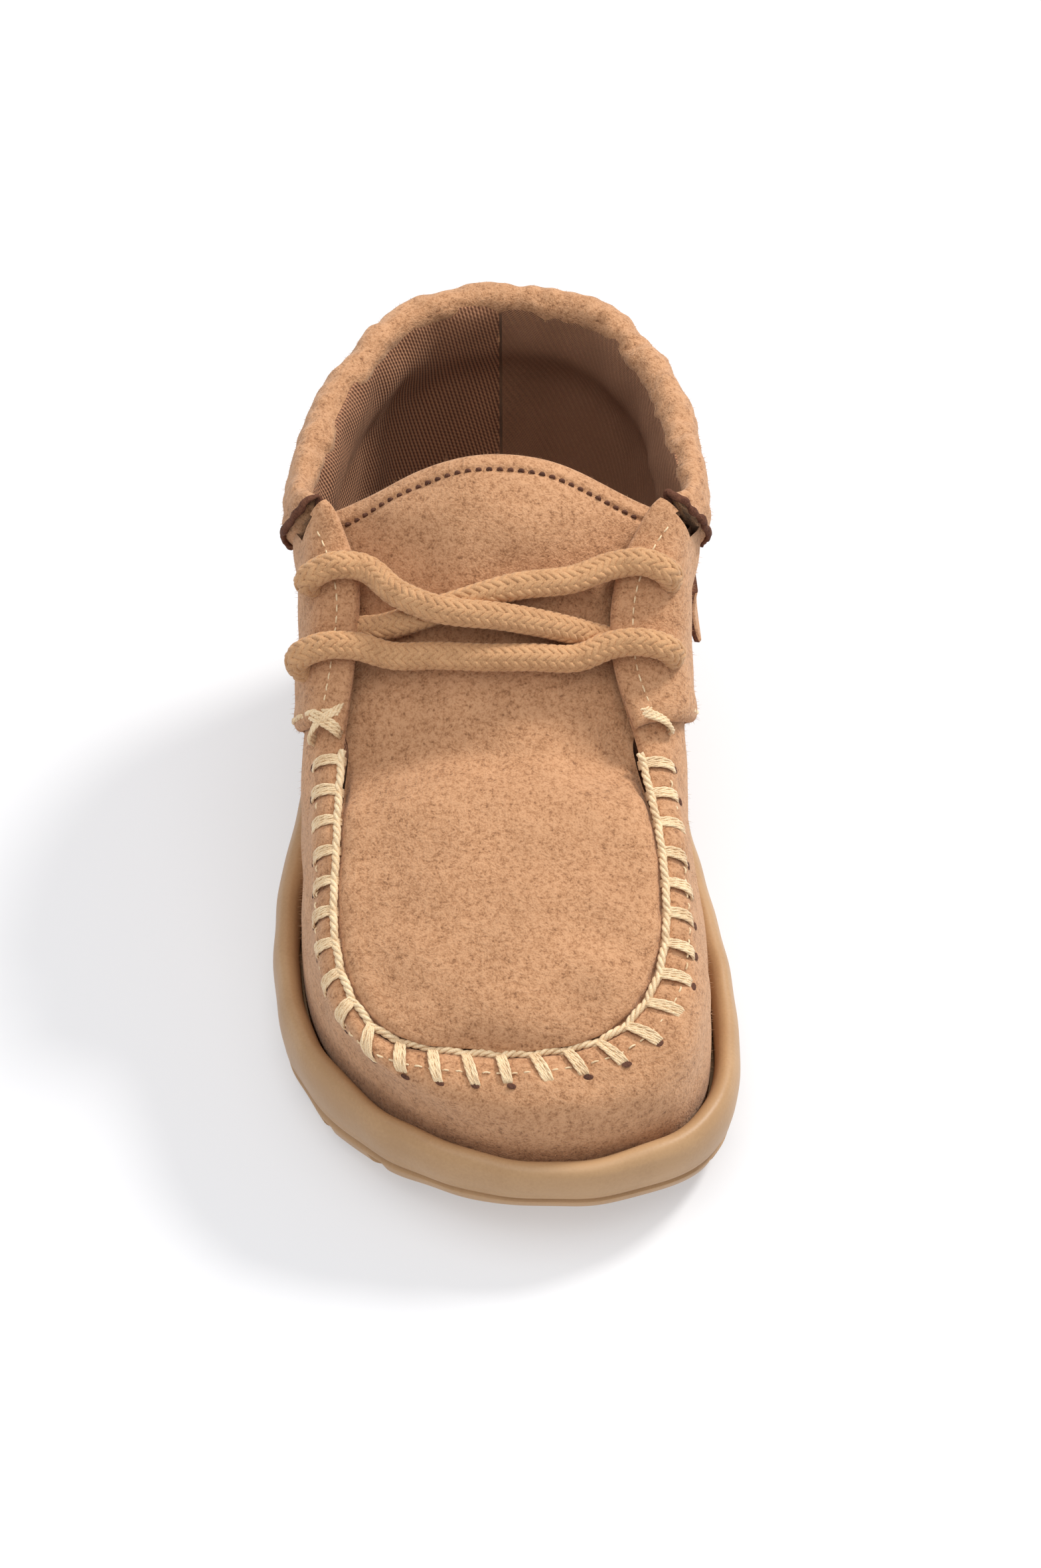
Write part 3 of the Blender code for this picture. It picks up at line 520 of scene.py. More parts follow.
def new_group(name, inputs, outputs):
    """An empty node group with named sockets, and its input and output nodes."""
    tree = bpy.data.node_groups.new(name, "ShaderNodeTree")
    for label, kind, value in inputs:
        socket = tree.interface.new_socket(label, in_out="INPUT", socket_type="NodeSocket" + kind)
        socket.default_value = value
    for label, kind in outputs:
        tree.interface.new_socket(label, in_out="OUTPUT", socket_type="NodeSocket" + kind)
    return tree, tree.nodes.new("NodeGroupInput").outputs, tree.nodes.new("NodeGroupOutput").inputs


def noise_at(tree, where, scale, detail=3.0, roughness=0.6):
    made = add_node(tree, "ShaderNodeTexNoise", {"Vector": where, "Scale": scale, "Detail": detail, "Roughness": roughness})
    return made.outputs["Fac"]


def nap_group():
    """Brushed suede: clumps of nap, painted shade in the low places between them, and lighter brushed patches."""
    tree, given, out = new_group(
        "suede_nap",
        [
            ("Light", "Color", (0.8, 0.5, 0.3, 1)),
            ("Middle", "Color", (0.6, 0.35, 0.2, 1)),
            ("Clump Gap Shade", "Color", (0.35, 0.17, 0.08, 1)),
            ("Clump Scale", "Float", 1500.0),
            ("Clump Gap Shade Amount", "Float", 0.5),
        ],
        [("Color", "Color"), ("Height", "Float")],
    )
    where = add_node(tree, "ShaderNodeTexCoord").outputs["Object"]
    warp = add_node(tree, "ShaderNodeTexNoise", {"Vector": where, "Scale": 260.0, "Detail": 1.0})
    bent = add_node(tree, "ShaderNodeVectorMath", {0: warp.outputs["Color"], 1: (0.0007, 0.0007, 0.0007)}, operation="MULTIPLY")
    place = add_node(tree, "ShaderNodeVectorMath", {0: where, 1: bent.outputs[0]}, operation="ADD").outputs[0]
    clumps = noise_at(tree, place, given["Clump Scale"], 4.0, 0.68)
    fine = noise_at(tree, place, math_node(tree, "MULTIPLY", given["Clump Scale"], 2.6), 2.0, 0.5)
    broad = noise_at(tree, where, 110.0, 3.0, 0.55)
    patches = noise_at(tree, where, 420.0, 2.0, 0.5)
    height = math_node(tree, "ADD", math_node(tree, "MULTIPLY", clumps, 0.62), math_node(tree, "MULTIPLY", fine, 0.38))
    lifted = math_node(tree, "ADD", height, math_node(tree, "MULTIPLY", math_node(tree, "SUBTRACT", patches, 0.5), 0.16))
    body = mix_colour(tree, stepped(tree, lifted, 0.40, 0.60), given["Middle"], given["Light"])
    # Painted shade: where the nap's height is low, between its clumps, the colour is pulled towards the darkest colour.
    clump_gap_shade = math_node(tree, "MULTIPLY", math_node(tree, "SUBTRACT", 1.0, stepped(tree, lifted, 0.30, 0.465)), given["Clump Gap Shade Amount"])
    body = mix_colour(tree, clump_gap_shade, body, given["Clump Gap Shade"])
    shade = stepped(tree, broad, 0.30, 0.70)
    tone = mix_colour(tree, shade, (0.95, 0.94, 0.93, 1), (1.03, 1.03, 1.03, 1))
    tree.links.new(mix_colour(tree, 1.0, body, tone, "MULTIPLY"), out["Color"])
    tree.links.new(height, out["Height"])
    return tree


def twill_group():
    """Twill cloth: slanting ribs of twisted yarn across the surface's own metres, with painted shade darkening the
    grooves between the ribs.
    """
    tree, given, out = new_group(
        "twill_weave",
        [
            ("Light", "Color", (0.6, 0.3, 0.18, 1)),
            ("Groove Shade", "Color", (0.2, 0.08, 0.04, 1)),
            ("Rib Pitch", "Float", 0.00064),
            ("Slant", "Float", 0.35),
        ],
        [("Color", "Color"), ("Height", "Float")],
    )
    where = add_node(tree, "ShaderNodeUVMap", uv_map="surface").outputs[0]
    parts = add_node(tree, "ShaderNodeSeparateXYZ", {0: where}).outputs
    slid = math_node(tree, "ADD", parts[0], math_node(tree, "MULTIPLY", parts[1], given["Slant"]))
    turns = math_node(tree, "MULTIPLY", math_node(tree, "DIVIDE", slid, given["Rib Pitch"]), 2 * math.pi)
    rib = math_node(tree, "ADD", math_node(tree, "MULTIPLY", math_node(tree, "SINE", turns), 0.5), 0.5)
    pick = math_node(tree, "MULTIPLY", math_node(tree, "DIVIDE", parts[1], given["Rib Pitch"]), 2 * math.pi * 0.9)
    pick = math_node(tree, "ADD", pick, math_node(tree, "MULTIPLY", turns, 0.5))
    yarn = math_node(tree, "ADD", math_node(tree, "MULTIPLY", math_node(tree, "SINE", pick), 0.5), 0.5)
    fuzz = noise_at(tree, add_node(tree, "ShaderNodeTexCoord").outputs["Object"], 3000.0, 2.0, 0.6)
    height = math_node(tree, "ADD", math_node(tree, "MULTIPLY", rib, 0.75), math_node(tree, "MULTIPLY", yarn, 0.25))
    shade = math_node(tree, "ADD", height, math_node(tree, "MULTIPLY", math_node(tree, "SUBTRACT", fuzz, 0.5), 0.5))
    # The groove colour is painted shade: the low places between the ribs are coloured darker.
    tree.links.new(mix_colour(tree, stepped(tree, shade, 0.12, 0.75), given["Groove Shade"], given["Light"]), out["Color"])
    tree.links.new(height, out["Height"])
    return tree


def yarn_group():
    """Spun yarn: fine fibres and a slight change of tone from strand to strand."""
    tree, given, out = new_group(
        "spun_yarn",
        [("Light", "Color", (0.9, 0.7, 0.45, 1)), ("Dark", "Color", (0.6, 0.4, 0.2, 1)), ("Fibre Scale", "Float", 4000.0)],
        [("Color", "Color"), ("Height", "Float")],
    )
    where = add_node(tree, "ShaderNodeTexCoord").outputs["Object"]
    fibre = noise_at(tree, where, given["Fibre Scale"], 2.0, 0.6)
    tone = noise_at(tree, where, 500.0, 2.0, 0.5)
    share = math_node(tree, "ADD", math_node(tree, "MULTIPLY", fibre, 0.6), math_node(tree, "MULTIPLY", tone, 0.4))
    tree.links.new(mix_colour(tree, stepped(tree, share, 0.32, 0.62), given["Dark"], given["Light"]), out["Color"])
    tree.links.new(fibre, out["Height"])
    return tree


def finish_material(name, group, values, roughness, bump, distance, sheen=0.0, sheen_tint=(1, 1, 1, 1), coat=0.0):
    """A material whose colour and bump come from one of the groups. bump's distance is in metres."""
    material = bpy.data.materials.new(name)
    material.use_nodes = True
    tree = material.node_tree
    shader = tree.nodes["Principled BSDF"]
    effect = tree.nodes.new("ShaderNodeGroup")
    effect.node_tree = group
    for key, value in values.items():
        effect.inputs[key].default_value = value
    tree.links.new(effect.outputs["Color"], shader.inputs["Base Color"])
    dent = add_node(tree, "ShaderNodeBump", {"Strength": bump, "Distance": distance, "Height": effect.outputs["Height"]})
    tree.links.new(dent.outputs[0], shader.inputs["Normal"])
    shader.inputs["Roughness"].default_value = roughness
    shader.inputs["Sheen Weight"].default_value = sheen
    shader.inputs["Sheen Roughness"].default_value = 0.5
    shader.inputs["Sheen Tint"].default_value = sheen_tint
    shader.inputs["Coat Weight"].default_value = coat
    shader.inputs["Specular IOR Level"].default_value = 0.3
    return material


def gum_group():
    """Moulded gum rubber: faint cloudiness and a very fine moulded grain, with painted shade making the grain's low
    places a little darker.
    """
    tree, given, out = new_group(
        "gum_rubber",
        [("Light", "Color", (0.6, 0.4, 0.2, 1)), ("Dark", "Color", (0.45, 0.28, 0.13, 1)), ("Grain Scale", "Float", 1500.0)],
        [("Color", "Color"), ("Height", "Float")],
    )
    where = add_node(tree, "ShaderNodeTexCoord").outputs["Object"]
    cloud = noise_at(tree, where, 60.0, 3.0, 0.5)
    grain = noise_at(tree, where, given["Grain Scale"], 3.0, 0.6)
    # The colour goes towards Dark with the cloudiness' random tone and, as painted shade, in the fine grain's low
    # places.
    share = math_node(tree, "ADD", math_node(tree, "MULTIPLY", cloud, 0.7), math_node(tree, "MULTIPLY", grain, 0.3))
    tree.links.new(mix_colour(tree, stepped(tree, share, 0.36, 0.62), given["Dark"], given["Light"]), out["Color"])
    tree.links.new(grain, out["Height"])
    return tree


NAP, TWILL, YARN, RUBBER = nap_group(), twill_group(), yarn_group(), gum_group()
SUEDE_SHEEN = {"sheen": 0.35, "sheen_tint": (1.0, 0.80, 0.62, 1)}
# The darkest colour of each suede is painted shade in the low places between the nap's clumps.
suede = finish_material(
    "suede",
    NAP,
    {"Light": (0.62, 0.335, 0.175, 1), "Middle": (0.46, 0.225, 0.105, 1), "Clump Gap Shade": (0.17, 0.070, 0.030, 1), "Clump Scale": 1300.0, "Clump Gap Shade Amount": 0.75},
    0.92, 0.8, 0.0005, **SUEDE_SHEEN,
)
raw_edge = finish_material(
    "raw_suede_edge",
    NAP,
    {"Light": (0.16, 0.065, 0.035, 1), "Middle": (0.10, 0.036, 0.020, 1), "Clump Gap Shade": (0.03, 0.010, 0.006, 1), "Clump Scale": 1800.0, "Clump Gap Shade Amount": 0.7},
    0.95, 0.8, 0.0003,
)
micro_suede = finish_material(
    "heel_micro_suede",
    NAP,
    {"Light": (0.40, 0.19, 0.10, 1), "Middle": (0.34, 0.155, 0.078, 1), "Clump Gap Shade": (0.24, 0.10, 0.05, 1), "Clump Scale": 2600.0, "Clump Gap Shade Amount": 0.4},
    0.9, 0.4, 0.0003, sheen=0.2, sheen_tint=(1.0, 0.8, 0.6, 1),
)
# The lining's groove colour is painted shade in the twill's grooves.
twill = finish_material(
    "lining_twill",
    TWILL,
    {"Light": (0.50, 0.24, 0.125, 1), "Groove Shade": (0.16, 0.06, 0.03, 1), "Rib Pitch": 0.64 * MM, "Slant": 0.25},
    0.8, 1.0, 0.00022, sheen=0.15, sheen_tint=(1.0, 0.8, 0.6, 1),
)
gum = finish_material(
    "gum_rubber",
    RUBBER,
    {"Light": (0.50, 0.305, 0.155, 1), "Dark": (0.43, 0.255, 0.125, 1), "Grain Scale": 2200.0},
    0.42, 0.25, 0.00012,
)
braid = finish_material(
    "lace_yarn",
    YARN,
    {"Light": (0.62, 0.345, 0.165, 1), "Dark": (0.44, 0.225, 0.10, 1), "Fibre Scale": 5000.0},
    0.8, 0.5, 0.00015, sheen=0.3, sheen_tint=(1.0, 0.85, 0.65, 1),
)
floss = finish_material(
    "stitch_floss",
    YARN,
    {"Light": (0.90, 0.70, 0.44, 1), "Dark": (0.66, 0.44, 0.24, 1), "Fibre Scale": 6000.0},
    0.42, 0.4, 0.0001, sheen=0.1,
)
# This material is dark thread for the tongue's stitches, and painted shade for the stitch holes on the vamp.
dark_thread_and_hole_shade = finish_material(
    "dark_thread_and_hole_shade",
    YARN,
    {"Light": (0.14, 0.055, 0.03, 1), "Dark": (0.05, 0.018, 0.01, 1), "Fibre Scale": 6000.0},
    0.8, 0.4, 0.0001,
)


# ---- Sole ----
# The side in section: inset a share of the lip's width, level a share of the side's height.
SIDE_CURVE = np.array([
    (0.95, 0.000),
    (0.62, 0.000),
    (0.40, 0.030),
    (0.27, 0.110),
    (0.22, 0.190),
    (0.30, 0.225),
    (0.30, 0.245),
    (0.19, 0.280),
    (0.10, 0.400),
    (0.02, 0.580),
    (0.02, 0.740),
    (0.13, 0.900),
    (0.32, 0.985),
    (0.52, 1.005),
    (0.76, 0.965),
    (0.93, 0.870),
    (1.00, 0.780),
])
SOLE_STATIONS = 420


def sole_faces(rings, count):
    faces = grid_quads(rings, count, ring=True).tolist()
    for ring in (0, rings - 1):
        start = ring * count
        faces += [[start + k, start + k + 1, start + count - 2 - k, start + count - 1 - k] for k in range(count // 2 - 1)]
    return faces


def make_sole():
    """The cupsole with its rounded lip, the moulding line low on its side, and the grooved tread."""
    half = math.pi * (np.arange(SOLE_STATIONS // 2) + 0.5) / (SOLE_STATIONS // 2)
    angle = np.concatenate([half, 2 * math.pi - half[::-1]])
    along = np.concatenate([[0], np.cumsum(np.hypot(*np.diff(SIDE_CURVE * [LIP_WIDTH, LIP_HEIGHT_BALL], axis=0).T))])
    at = np.linspace(0, along[-1], 60)
    profile = smooth_through(along, SIDE_CURVE, at)
    profile = np.concatenate([[(2.2, 0.0), (1.5, 0.0)], profile])
    rings = []
    for inset, level in profile:
        ring = inset_outline(angle, np.full(angle.shape, inset * LIP_WIDTH))
        low, high = bottom_height(ring[:, 1]), lip_height(ring[:, 1])
        rings.append(np.column_stack([ring, low + (high - low) * level]))
    for drop in (0.6, 1.0):
        floor = inset_outline(angle, np.full(angle.shape, LIP_WIDTH))
        rings.append(np.column_stack([floor, lip_height(floor[:, 1]) - drop * CUP_DEPTH]))
    points = np.concatenate(rings)
    points += 0.10 * MM * soft_noise(points, 12 * MM, 3)[:, None] * np.array([1, 1, 0.3])
    sole = outward(mesh_piece("sole", points, sole_faces(len(rings), len(angle)), [gum]))
    groove = sole.modifiers.new("tread", "BOOLEAN")
    groove.object = tread_bars()
    groove.operation, groove.solver = "DIFFERENCE", "EXACT"
    whole = sole.evaluated_get(bpy.context.evaluated_depsgraph_get())
    cut_mesh = bpy.data.meshes.new_from_object(whole)
    bars = groove.object
    sole.modifiers.clear()
    sole.data = cut_mesh
    bpy.data.objects.remove(bars)
    sole.data.shade_smooth()
    sole.data.set_sharp_from_angle(angle=math.radians(42))
    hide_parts("outsole")
    return sole


def tread_bars():
    """Bars across the underside, as wide and deep as the tread's grooves."""
    reach = TREAD_REACH * HALF_LENGTH
    count = int(2 * reach / TREAD_PITCH)
    points, faces = [], []
    for k in range(count + 1):
        y = (k - count / 2) * TREAD_PITCH
        slope = float(bottom_height(y + MM) - bottom_height(y - MM)) / (2 * MM)
        across = np.array([0, 1, slope]) / math.hypot(1, slope)
        down = np.array([0, across[2], -across[1]])
        middle = np.array([0, y, float(bottom_height(y))])
        base = len(points)
        for depth in (-TREAD_GROOVE_DEPTH, TREAD_GROOVE_DEPTH + TOE_SPRING):
            for side in (-OUTSOLE_WIDTH, OUTSOLE_WIDTH):
                for end in (-0.5, 0.5):
                    points.append(middle + down * depth + across * end * TREAD_GROOVE_WIDTH + [side, 0, 0])
        for face in ((0, 1, 3, 2), (4, 6, 7, 5), (0, 4, 5, 1), (2, 3, 7, 6), (0, 2, 6, 4), (1, 5, 7, 3)):
            faces.append([base + i for i in face])
    mesh = bpy.data.meshes.new("tread_bars")
    mesh.from_pydata([tuple(p) for p in points], [], faces)
    bars = bpy.data.objects.new("tread_bars", mesh)
    bpy.context.scene.collection.objects.link(bars)
    bm = bmesh.new()
    bm.from_mesh(mesh)
    bmesh.ops.recalc_face_normals(bm, faces=bm.faces)
    bm.to_mesh(mesh)
    bm.free()
    return bars


def make_insole():
    """The sock lining: a soft edged pad on the cup's floor."""
    count = 200
    half = math.pi * (np.arange(count // 2) + 0.5) / (count // 2)
    angle = np.concatenate([half, 2 * math.pi - half[::-1]])
    rings = []
    for inset, level in ((0.6, 0), (0, 0.1), (0, 0.7), (0.25, 0.92), (0.8, 1.0), (6, 1.0)):
        reach = LIP_WIDTH + CUP_PLAY + UPPER_WALL + INSOLE_PLAY + inset * MM
        ring = inset_outline(angle, np.full(angle.shape, reach))
        rings.append(np.column_stack([ring, cup_floor(ring[:, 1]) + GAP + level * INSOLE_THICKNESS]))
    insole = outward(mesh_piece("insole_pad", np.concatenate(rings), sole_faces(len(rings), count), [micro_suede]))
    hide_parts("insole")
    return insole


# ---- The hand-sewn seam ----
SEAM_WAYS = np.linspace(0.60, 1.40, 801)
SEAM_POINTS = last_surface(SEAM_WAYS, 1.0)
SEAM_RUN = np.concatenate([[0], np.cumsum(np.linalg.norm(np.diff(SEAM_POINTS, axis=0), axis=1))])
STITCH_COUNT = 27
FIRST_STITCH_WAY, LAST_STITCH_WAY = 0.652, 1.352
STITCH_RUNS = np.linspace(
    np.interp(FIRST_STITCH_WAY, SEAM_WAYS, SEAM_RUN), np.interp(LAST_STITCH_WAY, SEAM_WAYS, SEAM_RUN), STITCH_COUNT
)
STITCH_WAYS = np.interp(STITCH_RUNS, SEAM_RUN, SEAM_WAYS)
STITCH_LENGTH = 5.2 * MM


def seam_run(way):
    """The distance along the seam. Ways on the outer side count on past the toe."""
    return np.interp(np.mod(np.asarray(way, float), 2), SEAM_WAYS, SEAM_RUN)


def stitch_pull(way):
    """1 at a stitch and 0 half way between two."""
    run = seam_run(way)
    pitch = STITCH_RUNS[1] - STITCH_RUNS[0]
    phase = (run - STITCH_RUNS[0]) / pitch
    inside = (phase > -0.5) & (phase < STITCH_COUNT - 0.5)
    return np.where(inside, np.exp(-(((phase - np.round(phase)) * pitch / (1.1 * MM)) ** 2)), 0)


def upper_relief(way, rise, depth):
    """How far the suede stands off the last: puffed behind the seam and pulled in at each stitch."""
    on_vamp = ramp(np.abs(way), 0.63, 0.66)
    puff = np.sin(math.pi * np.clip(depth / (7 * MM), 0, 1)) ** 1.5
    pull = stitch_pull(way) * (1 - ramp(depth, 3.5 * MM, 6.2 * MM))
    return on_vamp * MM * (0.45 * puff - 0.42 * pull * (0.35 + 0.65 * ramp(depth, 0, 2 * MM)))


def make_upper():
    """The suede shell: vamp, sides and heel under the overlays."""
    way = np.linspace(-1, 1, 640, endpoint=False)[None, :]
    rise = np.concatenate([[-0.94, -0.5, -0.15], bunched(0, 1, 56, 1.0, 2.6)])[:, None]
    way, rise = np.broadcast_arrays(way, rise)
    depth = (1 - rise) * wall_length(way)
    out = upper_relief(way, rise, depth) - UPPER_WALL * 0.62 * (1 - edge_round(depth, 1.3 * MM))
    outer = offset_surface(way, rise, out)
    outer += surface_frame(way, rise)[1] * (0.13 * MM * ramp(rise, 0, 0.2) * soft_noise(outer, 9 * MM, 11))[..., None]
    inner = offset_surface(way, rise, -UPPER_WALL * 0.75)
    points, faces = closed_sheet(outer, inner, ring=True)
    # the collar's seat and what lies under it is left open
    keep = collar_seat_mask(points, faces, way, rise)
    upper = mesh_piece("upper_shell", points, faces[keep], [suede])
    outward(upper)
    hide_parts("upper")
    return upper


def collar_seat_mask(points, faces, way, rise):
    """True for the faces that stay below the collar."""
    seat = np.where(np.abs(way) < CORNER_WAY, from_edge(way, 0.55 * COLLAR_HEIGHT), 2)
    below = (rise < seat).ravel()
    below = np.concatenate([below, below])
    return below[faces].any(axis=1)


def make_quarter(name, node, side):
    """The overlay from the back seam to the facing, with rounded cut edges."""
    share = np.concatenate([bunched(0, 0.9, 150, 1.6, 1.0), bunched(0.9, 1, 50, 1.0, 2.0)[1:]])[None, :]
    rise = bunched(QUARTER_FOOT_RISE, 1, 70, 1.6, 2.4)[:, None]
    edge_way = smooth_through(QUARTER_EDGE[:, 0], QUARTER_EDGE[:, 1:], rise[:, 0])
    back = 0.25 * GAP / 0.14
    way = np.maximum(share * edge_way, back)
    way, rise = np.broadcast_arrays(way, rise)
    run = np.linalg.norm(last_surface(side * (way + 1e-3), rise) - last_surface(side * (way - 1e-3), rise), axis=-1) / 2e-3
    depth = (1 - rise) * wall_length(side * way)
    to_edge = np.minimum(depth, (edge_way - way) * run)
    to_edge = np.minimum(to_edge, (rise - QUARTER_FOOT_RISE) * wall_length(side * way))
    to_edge = np.minimum(to_edge, (way - back) * run)
    thick = OVERLAY_THICKNESS * (0.25 + 0.75 * edge_round(to_edge, 1.1 * MM))
    base = offset_surface(side * way, rise, 0)
    normal = surface_frame(side * way, rise)[1]
    wobble = 0.16 * MM * soft_noise(base, 10 * MM, 21) + quarter_creases(way, rise, side)
    hem = -0.16 * MM * np.exp(-(((depth - 3.1 * MM) / (0.45 * MM)) ** 2)) * ramp(way, 0.44, 0.48)
    lower_hem = 0.3 * MM * np.exp(-((((edge_way - way) * run - 2.0 * MM) / (1.6 * MM)) ** 2)) * ramp(rise, 0.1, 0.5)
    lower_hem = lower_hem * (1 - ramp(rise, 0.9, 1.0))
    outer = base + normal * (0.15 * MM + thick + wobble + hem + lower_hem)[..., None]
    inner = base + normal * (0.12 * MM * np.ones_like(thick))[..., None]
    points, faces = closed_sheet(outer, inner)
    seat = np.where(np.abs(way) < CORNER_WAY, from_edge(side * way, 0.55 * COLLAR_HEIGHT), 2)
    below = (rise < seat).ravel()
    below = np.concatenate([below, below])
    quarter = outward(mesh_piece(name, points, faces[below[faces].any(axis=1)], [suede]))
    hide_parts(node)
    return quarter


def quarter_creases(way, rise, side):
    """Soft bends at the ankle, each a line from (way, rise) to (way, rise) and its depth in metres."""
    total = np.zeros(np.broadcast(way, rise).shape)
    for start, end, deep, wide in CREASES[side]:
        along = np.array(end) - np.array(start)
        t = np.clip(((way - start[0]) * along[0] + (rise - start[1]) * along[1]) / (along @ along), 0, 1)
        near = np.hypot((way - start[0] - t * along[0]) * 2.2, rise - start[1] - t * along[1])
        total -= deep * np.exp(-((near / wide) ** 2)) * np.sin(math.pi * np.clip(t, 0.02, 0.98)) ** 0.5
    return total


CREASES = {
    -1: [((0.36, 0.30), (0.50, 0.48), 0.5 * MM, 0.030), ((0.38, 0.18), (0.47, 0.26), 0.35 * MM, 0.028)],
    1: [((0.37, 0.34), (0.51, 0.50), 0.45 * MM, 0.030), ((0.40, 0.20), (0.48, 0.30), 0.35 * MM, 0.028)],
}


# ---- Apron and tongue ----
def make_apron_tongue():
    """One suede sheet: the crowned plug, and the tongue under the facings with its turned top hem."""
    way = np.concatenate([bunched(TONGUE_TOP_WAY, 0.62, 110, 1.8, 1.0), bunched(0.62, 0.993, 130, 1.0, 2.2)[1:]])[:, None]
    across = np.sin(np.linspace(-math.pi / 2, math.pi / 2, 111))[None, :]
    way, across = np.broadcast_arrays(way, across)
    top = apron_top(way, across)
    normal = apron_normal(way, across)
    half_width = np.linalg.norm(apron_edge(way, 1) - apron_edge(way, -1), axis=-1) / 2
    side_reach = (1 - np.abs(across)) * half_width
    end_reach = np.linalg.norm(apron_top(way, across) - apron_top(np.full_like(way, TONGUE_TOP_WAY), across), axis=-1)
    on_plug = ramp(way, SEAM_END_WAY, SEAM_END_WAY + 0.03)
    side_way = np.where(across < 0, -way, way)
    seam = on_plug * MM * (-0.75 * np.exp(-((side_reach / (0.7 * MM)) ** 2)) - 0.25 * stitch_pull(side_way) * np.exp(-((side_reach / (1.6 * MM)) ** 2)))
    seam = seam + on_plug * 0.25 * MM * np.exp(-(((side_reach - 2.4 * MM) / (1.5 * MM)) ** 2))
    hem = 0.45 * MM * (1 - ramp(end_reach, 2.4 * MM, 3.2 * MM)) - 0.25 * MM * np.exp(-(((end_reach - 2.9 * MM) / (0.4 * MM)) ** 2))
    top_edge = -0.8 * MM * (1 - edge_round(end_reach, 0.9 * MM))
    wobble = 0.15 * MM * soft_noise(top, 11 * MM, 31)
    outer = top + normal * (seam + hem * (1 - on_plug) + top_edge + wobble)[..., None]
    inner = top - normal * (0.8 * APRON_THICKNESS)
    points, faces = closed_sheet(outer, inner)
    sheet = outward(mesh_piece("apron_tongue_sheet", points, faces, [suede]))
    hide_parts("apron_tongue")
    return sheet


# ---- Collar and lining ----
def collar_offsets(way, across, drop):
    """Out and rise of a place on the collar's roll."""
    slimmer = (1 - COLLAR_END_THICKNESS) * ramp(np.abs(way), COLLAR_SLIM_WAY, CORNER_WAY)
    out = GAP + OVERLAY_THICKNESS + COLLAR_PROUD - COLLAR_THICKNESS * (1 - slimmer) * across
    return out, 1 - COLLAR_HEIGHT / wall_length(way) * drop


def collar_end(drop, across):
    """How far back from the front end the collar's cut edge lies: it slants back down the outside."""
    return np.where(across < 0.3, 0.045 * ramp(drop, 0.1, 1.0), 0.0)


COLLAR_RUN = np.concatenate([[0], np.cumsum(np.hypot(*(np.diff(COLLAR_SECTION, axis=0) * [0.57, 1.0]).T))])


def collar_grid(way_count, section_count, span=(0.0, 1.0), proud=0.0):
    """Points over the collar's roll. span picks the part of its section, from outside to inside."""
    at = np.linspace(span[0], span[1], section_count) * COLLAR_RUN[-1]
    section = smooth_through(COLLAR_RUN, COLLAR_SECTION, at)
    across, drop = section[:, 0][None, :], np.clip(section[:, 1], 0, 1)[None, :]
    t = np.linspace(-1, 1, way_count)[:, None]
    way = t * (COLLAR_END_WAY - collar_end(drop, across))
    out, rise = collar_offsets(way, across, drop)
    return way, rise, offset_surface(way, rise, out + proud)


def make_collar():
    """The padded suede roll round the opening."""
    way, rise, grid = collar_grid(420, 44)
    swell = 0.22 * MM * soft_noise(grid, 9 * MM, 41) + 0.12 * MM * soft_noise(grid, 3.5 * MM, 42)
    swell = swell - 0.7 * MM * ramp(np.linspace(0, 1, 44)[None, :], 0.60, 0.66)
    centre = grid.mean(axis=1, keepdims=True)
    grid = grid + unit(grid - centre) * swell[..., None]
    rows, columns = grid.shape[:2]
    faces = grid_quads(rows, columns).tolist()
    faces += [[r * columns, (r + 1) * columns, (r + 1) * columns + columns - 1, r * columns + columns - 1] for r in range(rows - 1)]
    faces += [list(range(columns)), list(range((rows - 1) * columns, rows * columns))[::-1]]
    collar = outward(mesh_piece("collar_roll", grid.reshape(-1, 3), faces, [suede]))
    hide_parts("collar")
    return collar


def make_collar_edges():
    """The dark cut edge of the collar's suede where it ends over each facing."""
    parts = []
    at = np.linspace(0.0, 0.72, 90)
    section = smooth_through(COLLAR_RUN, COLLAR_SECTION, at * COLLAR_RUN[-1])
    across, drop = section[:, 0], np.clip(section[:, 1], 0, 1)
    for side in (-1, 1):
        way = side * (COLLAR_END_WAY + 0.001 - collar_end(drop, across))
        out, rise = collar_offsets(way, across, drop)
        path = offset_surface(way, rise, out)
        normal = unit(path - offset_surface(way, rise, out * 0 - 1.5 * MM))
        path = path + normal * 0.15 * MM + 0.16 * MM * np.stack([soft_noise(path, 3 * MM, 50 + side + k) for k in range(3)], -1)
        wide = 0.62 * MM * (1 + 0.18 * soft_noise(path, 2 * MM, 60 + side))
        parts.append(joined_tubes(tube_sections(path[None], normal[None], wide[None], 8, 0.8)))
    points, faces = merged(parts)
    edges = outward(mesh_piece("collar_cut_edges", points, faces, [raw_edge]))
    return edges


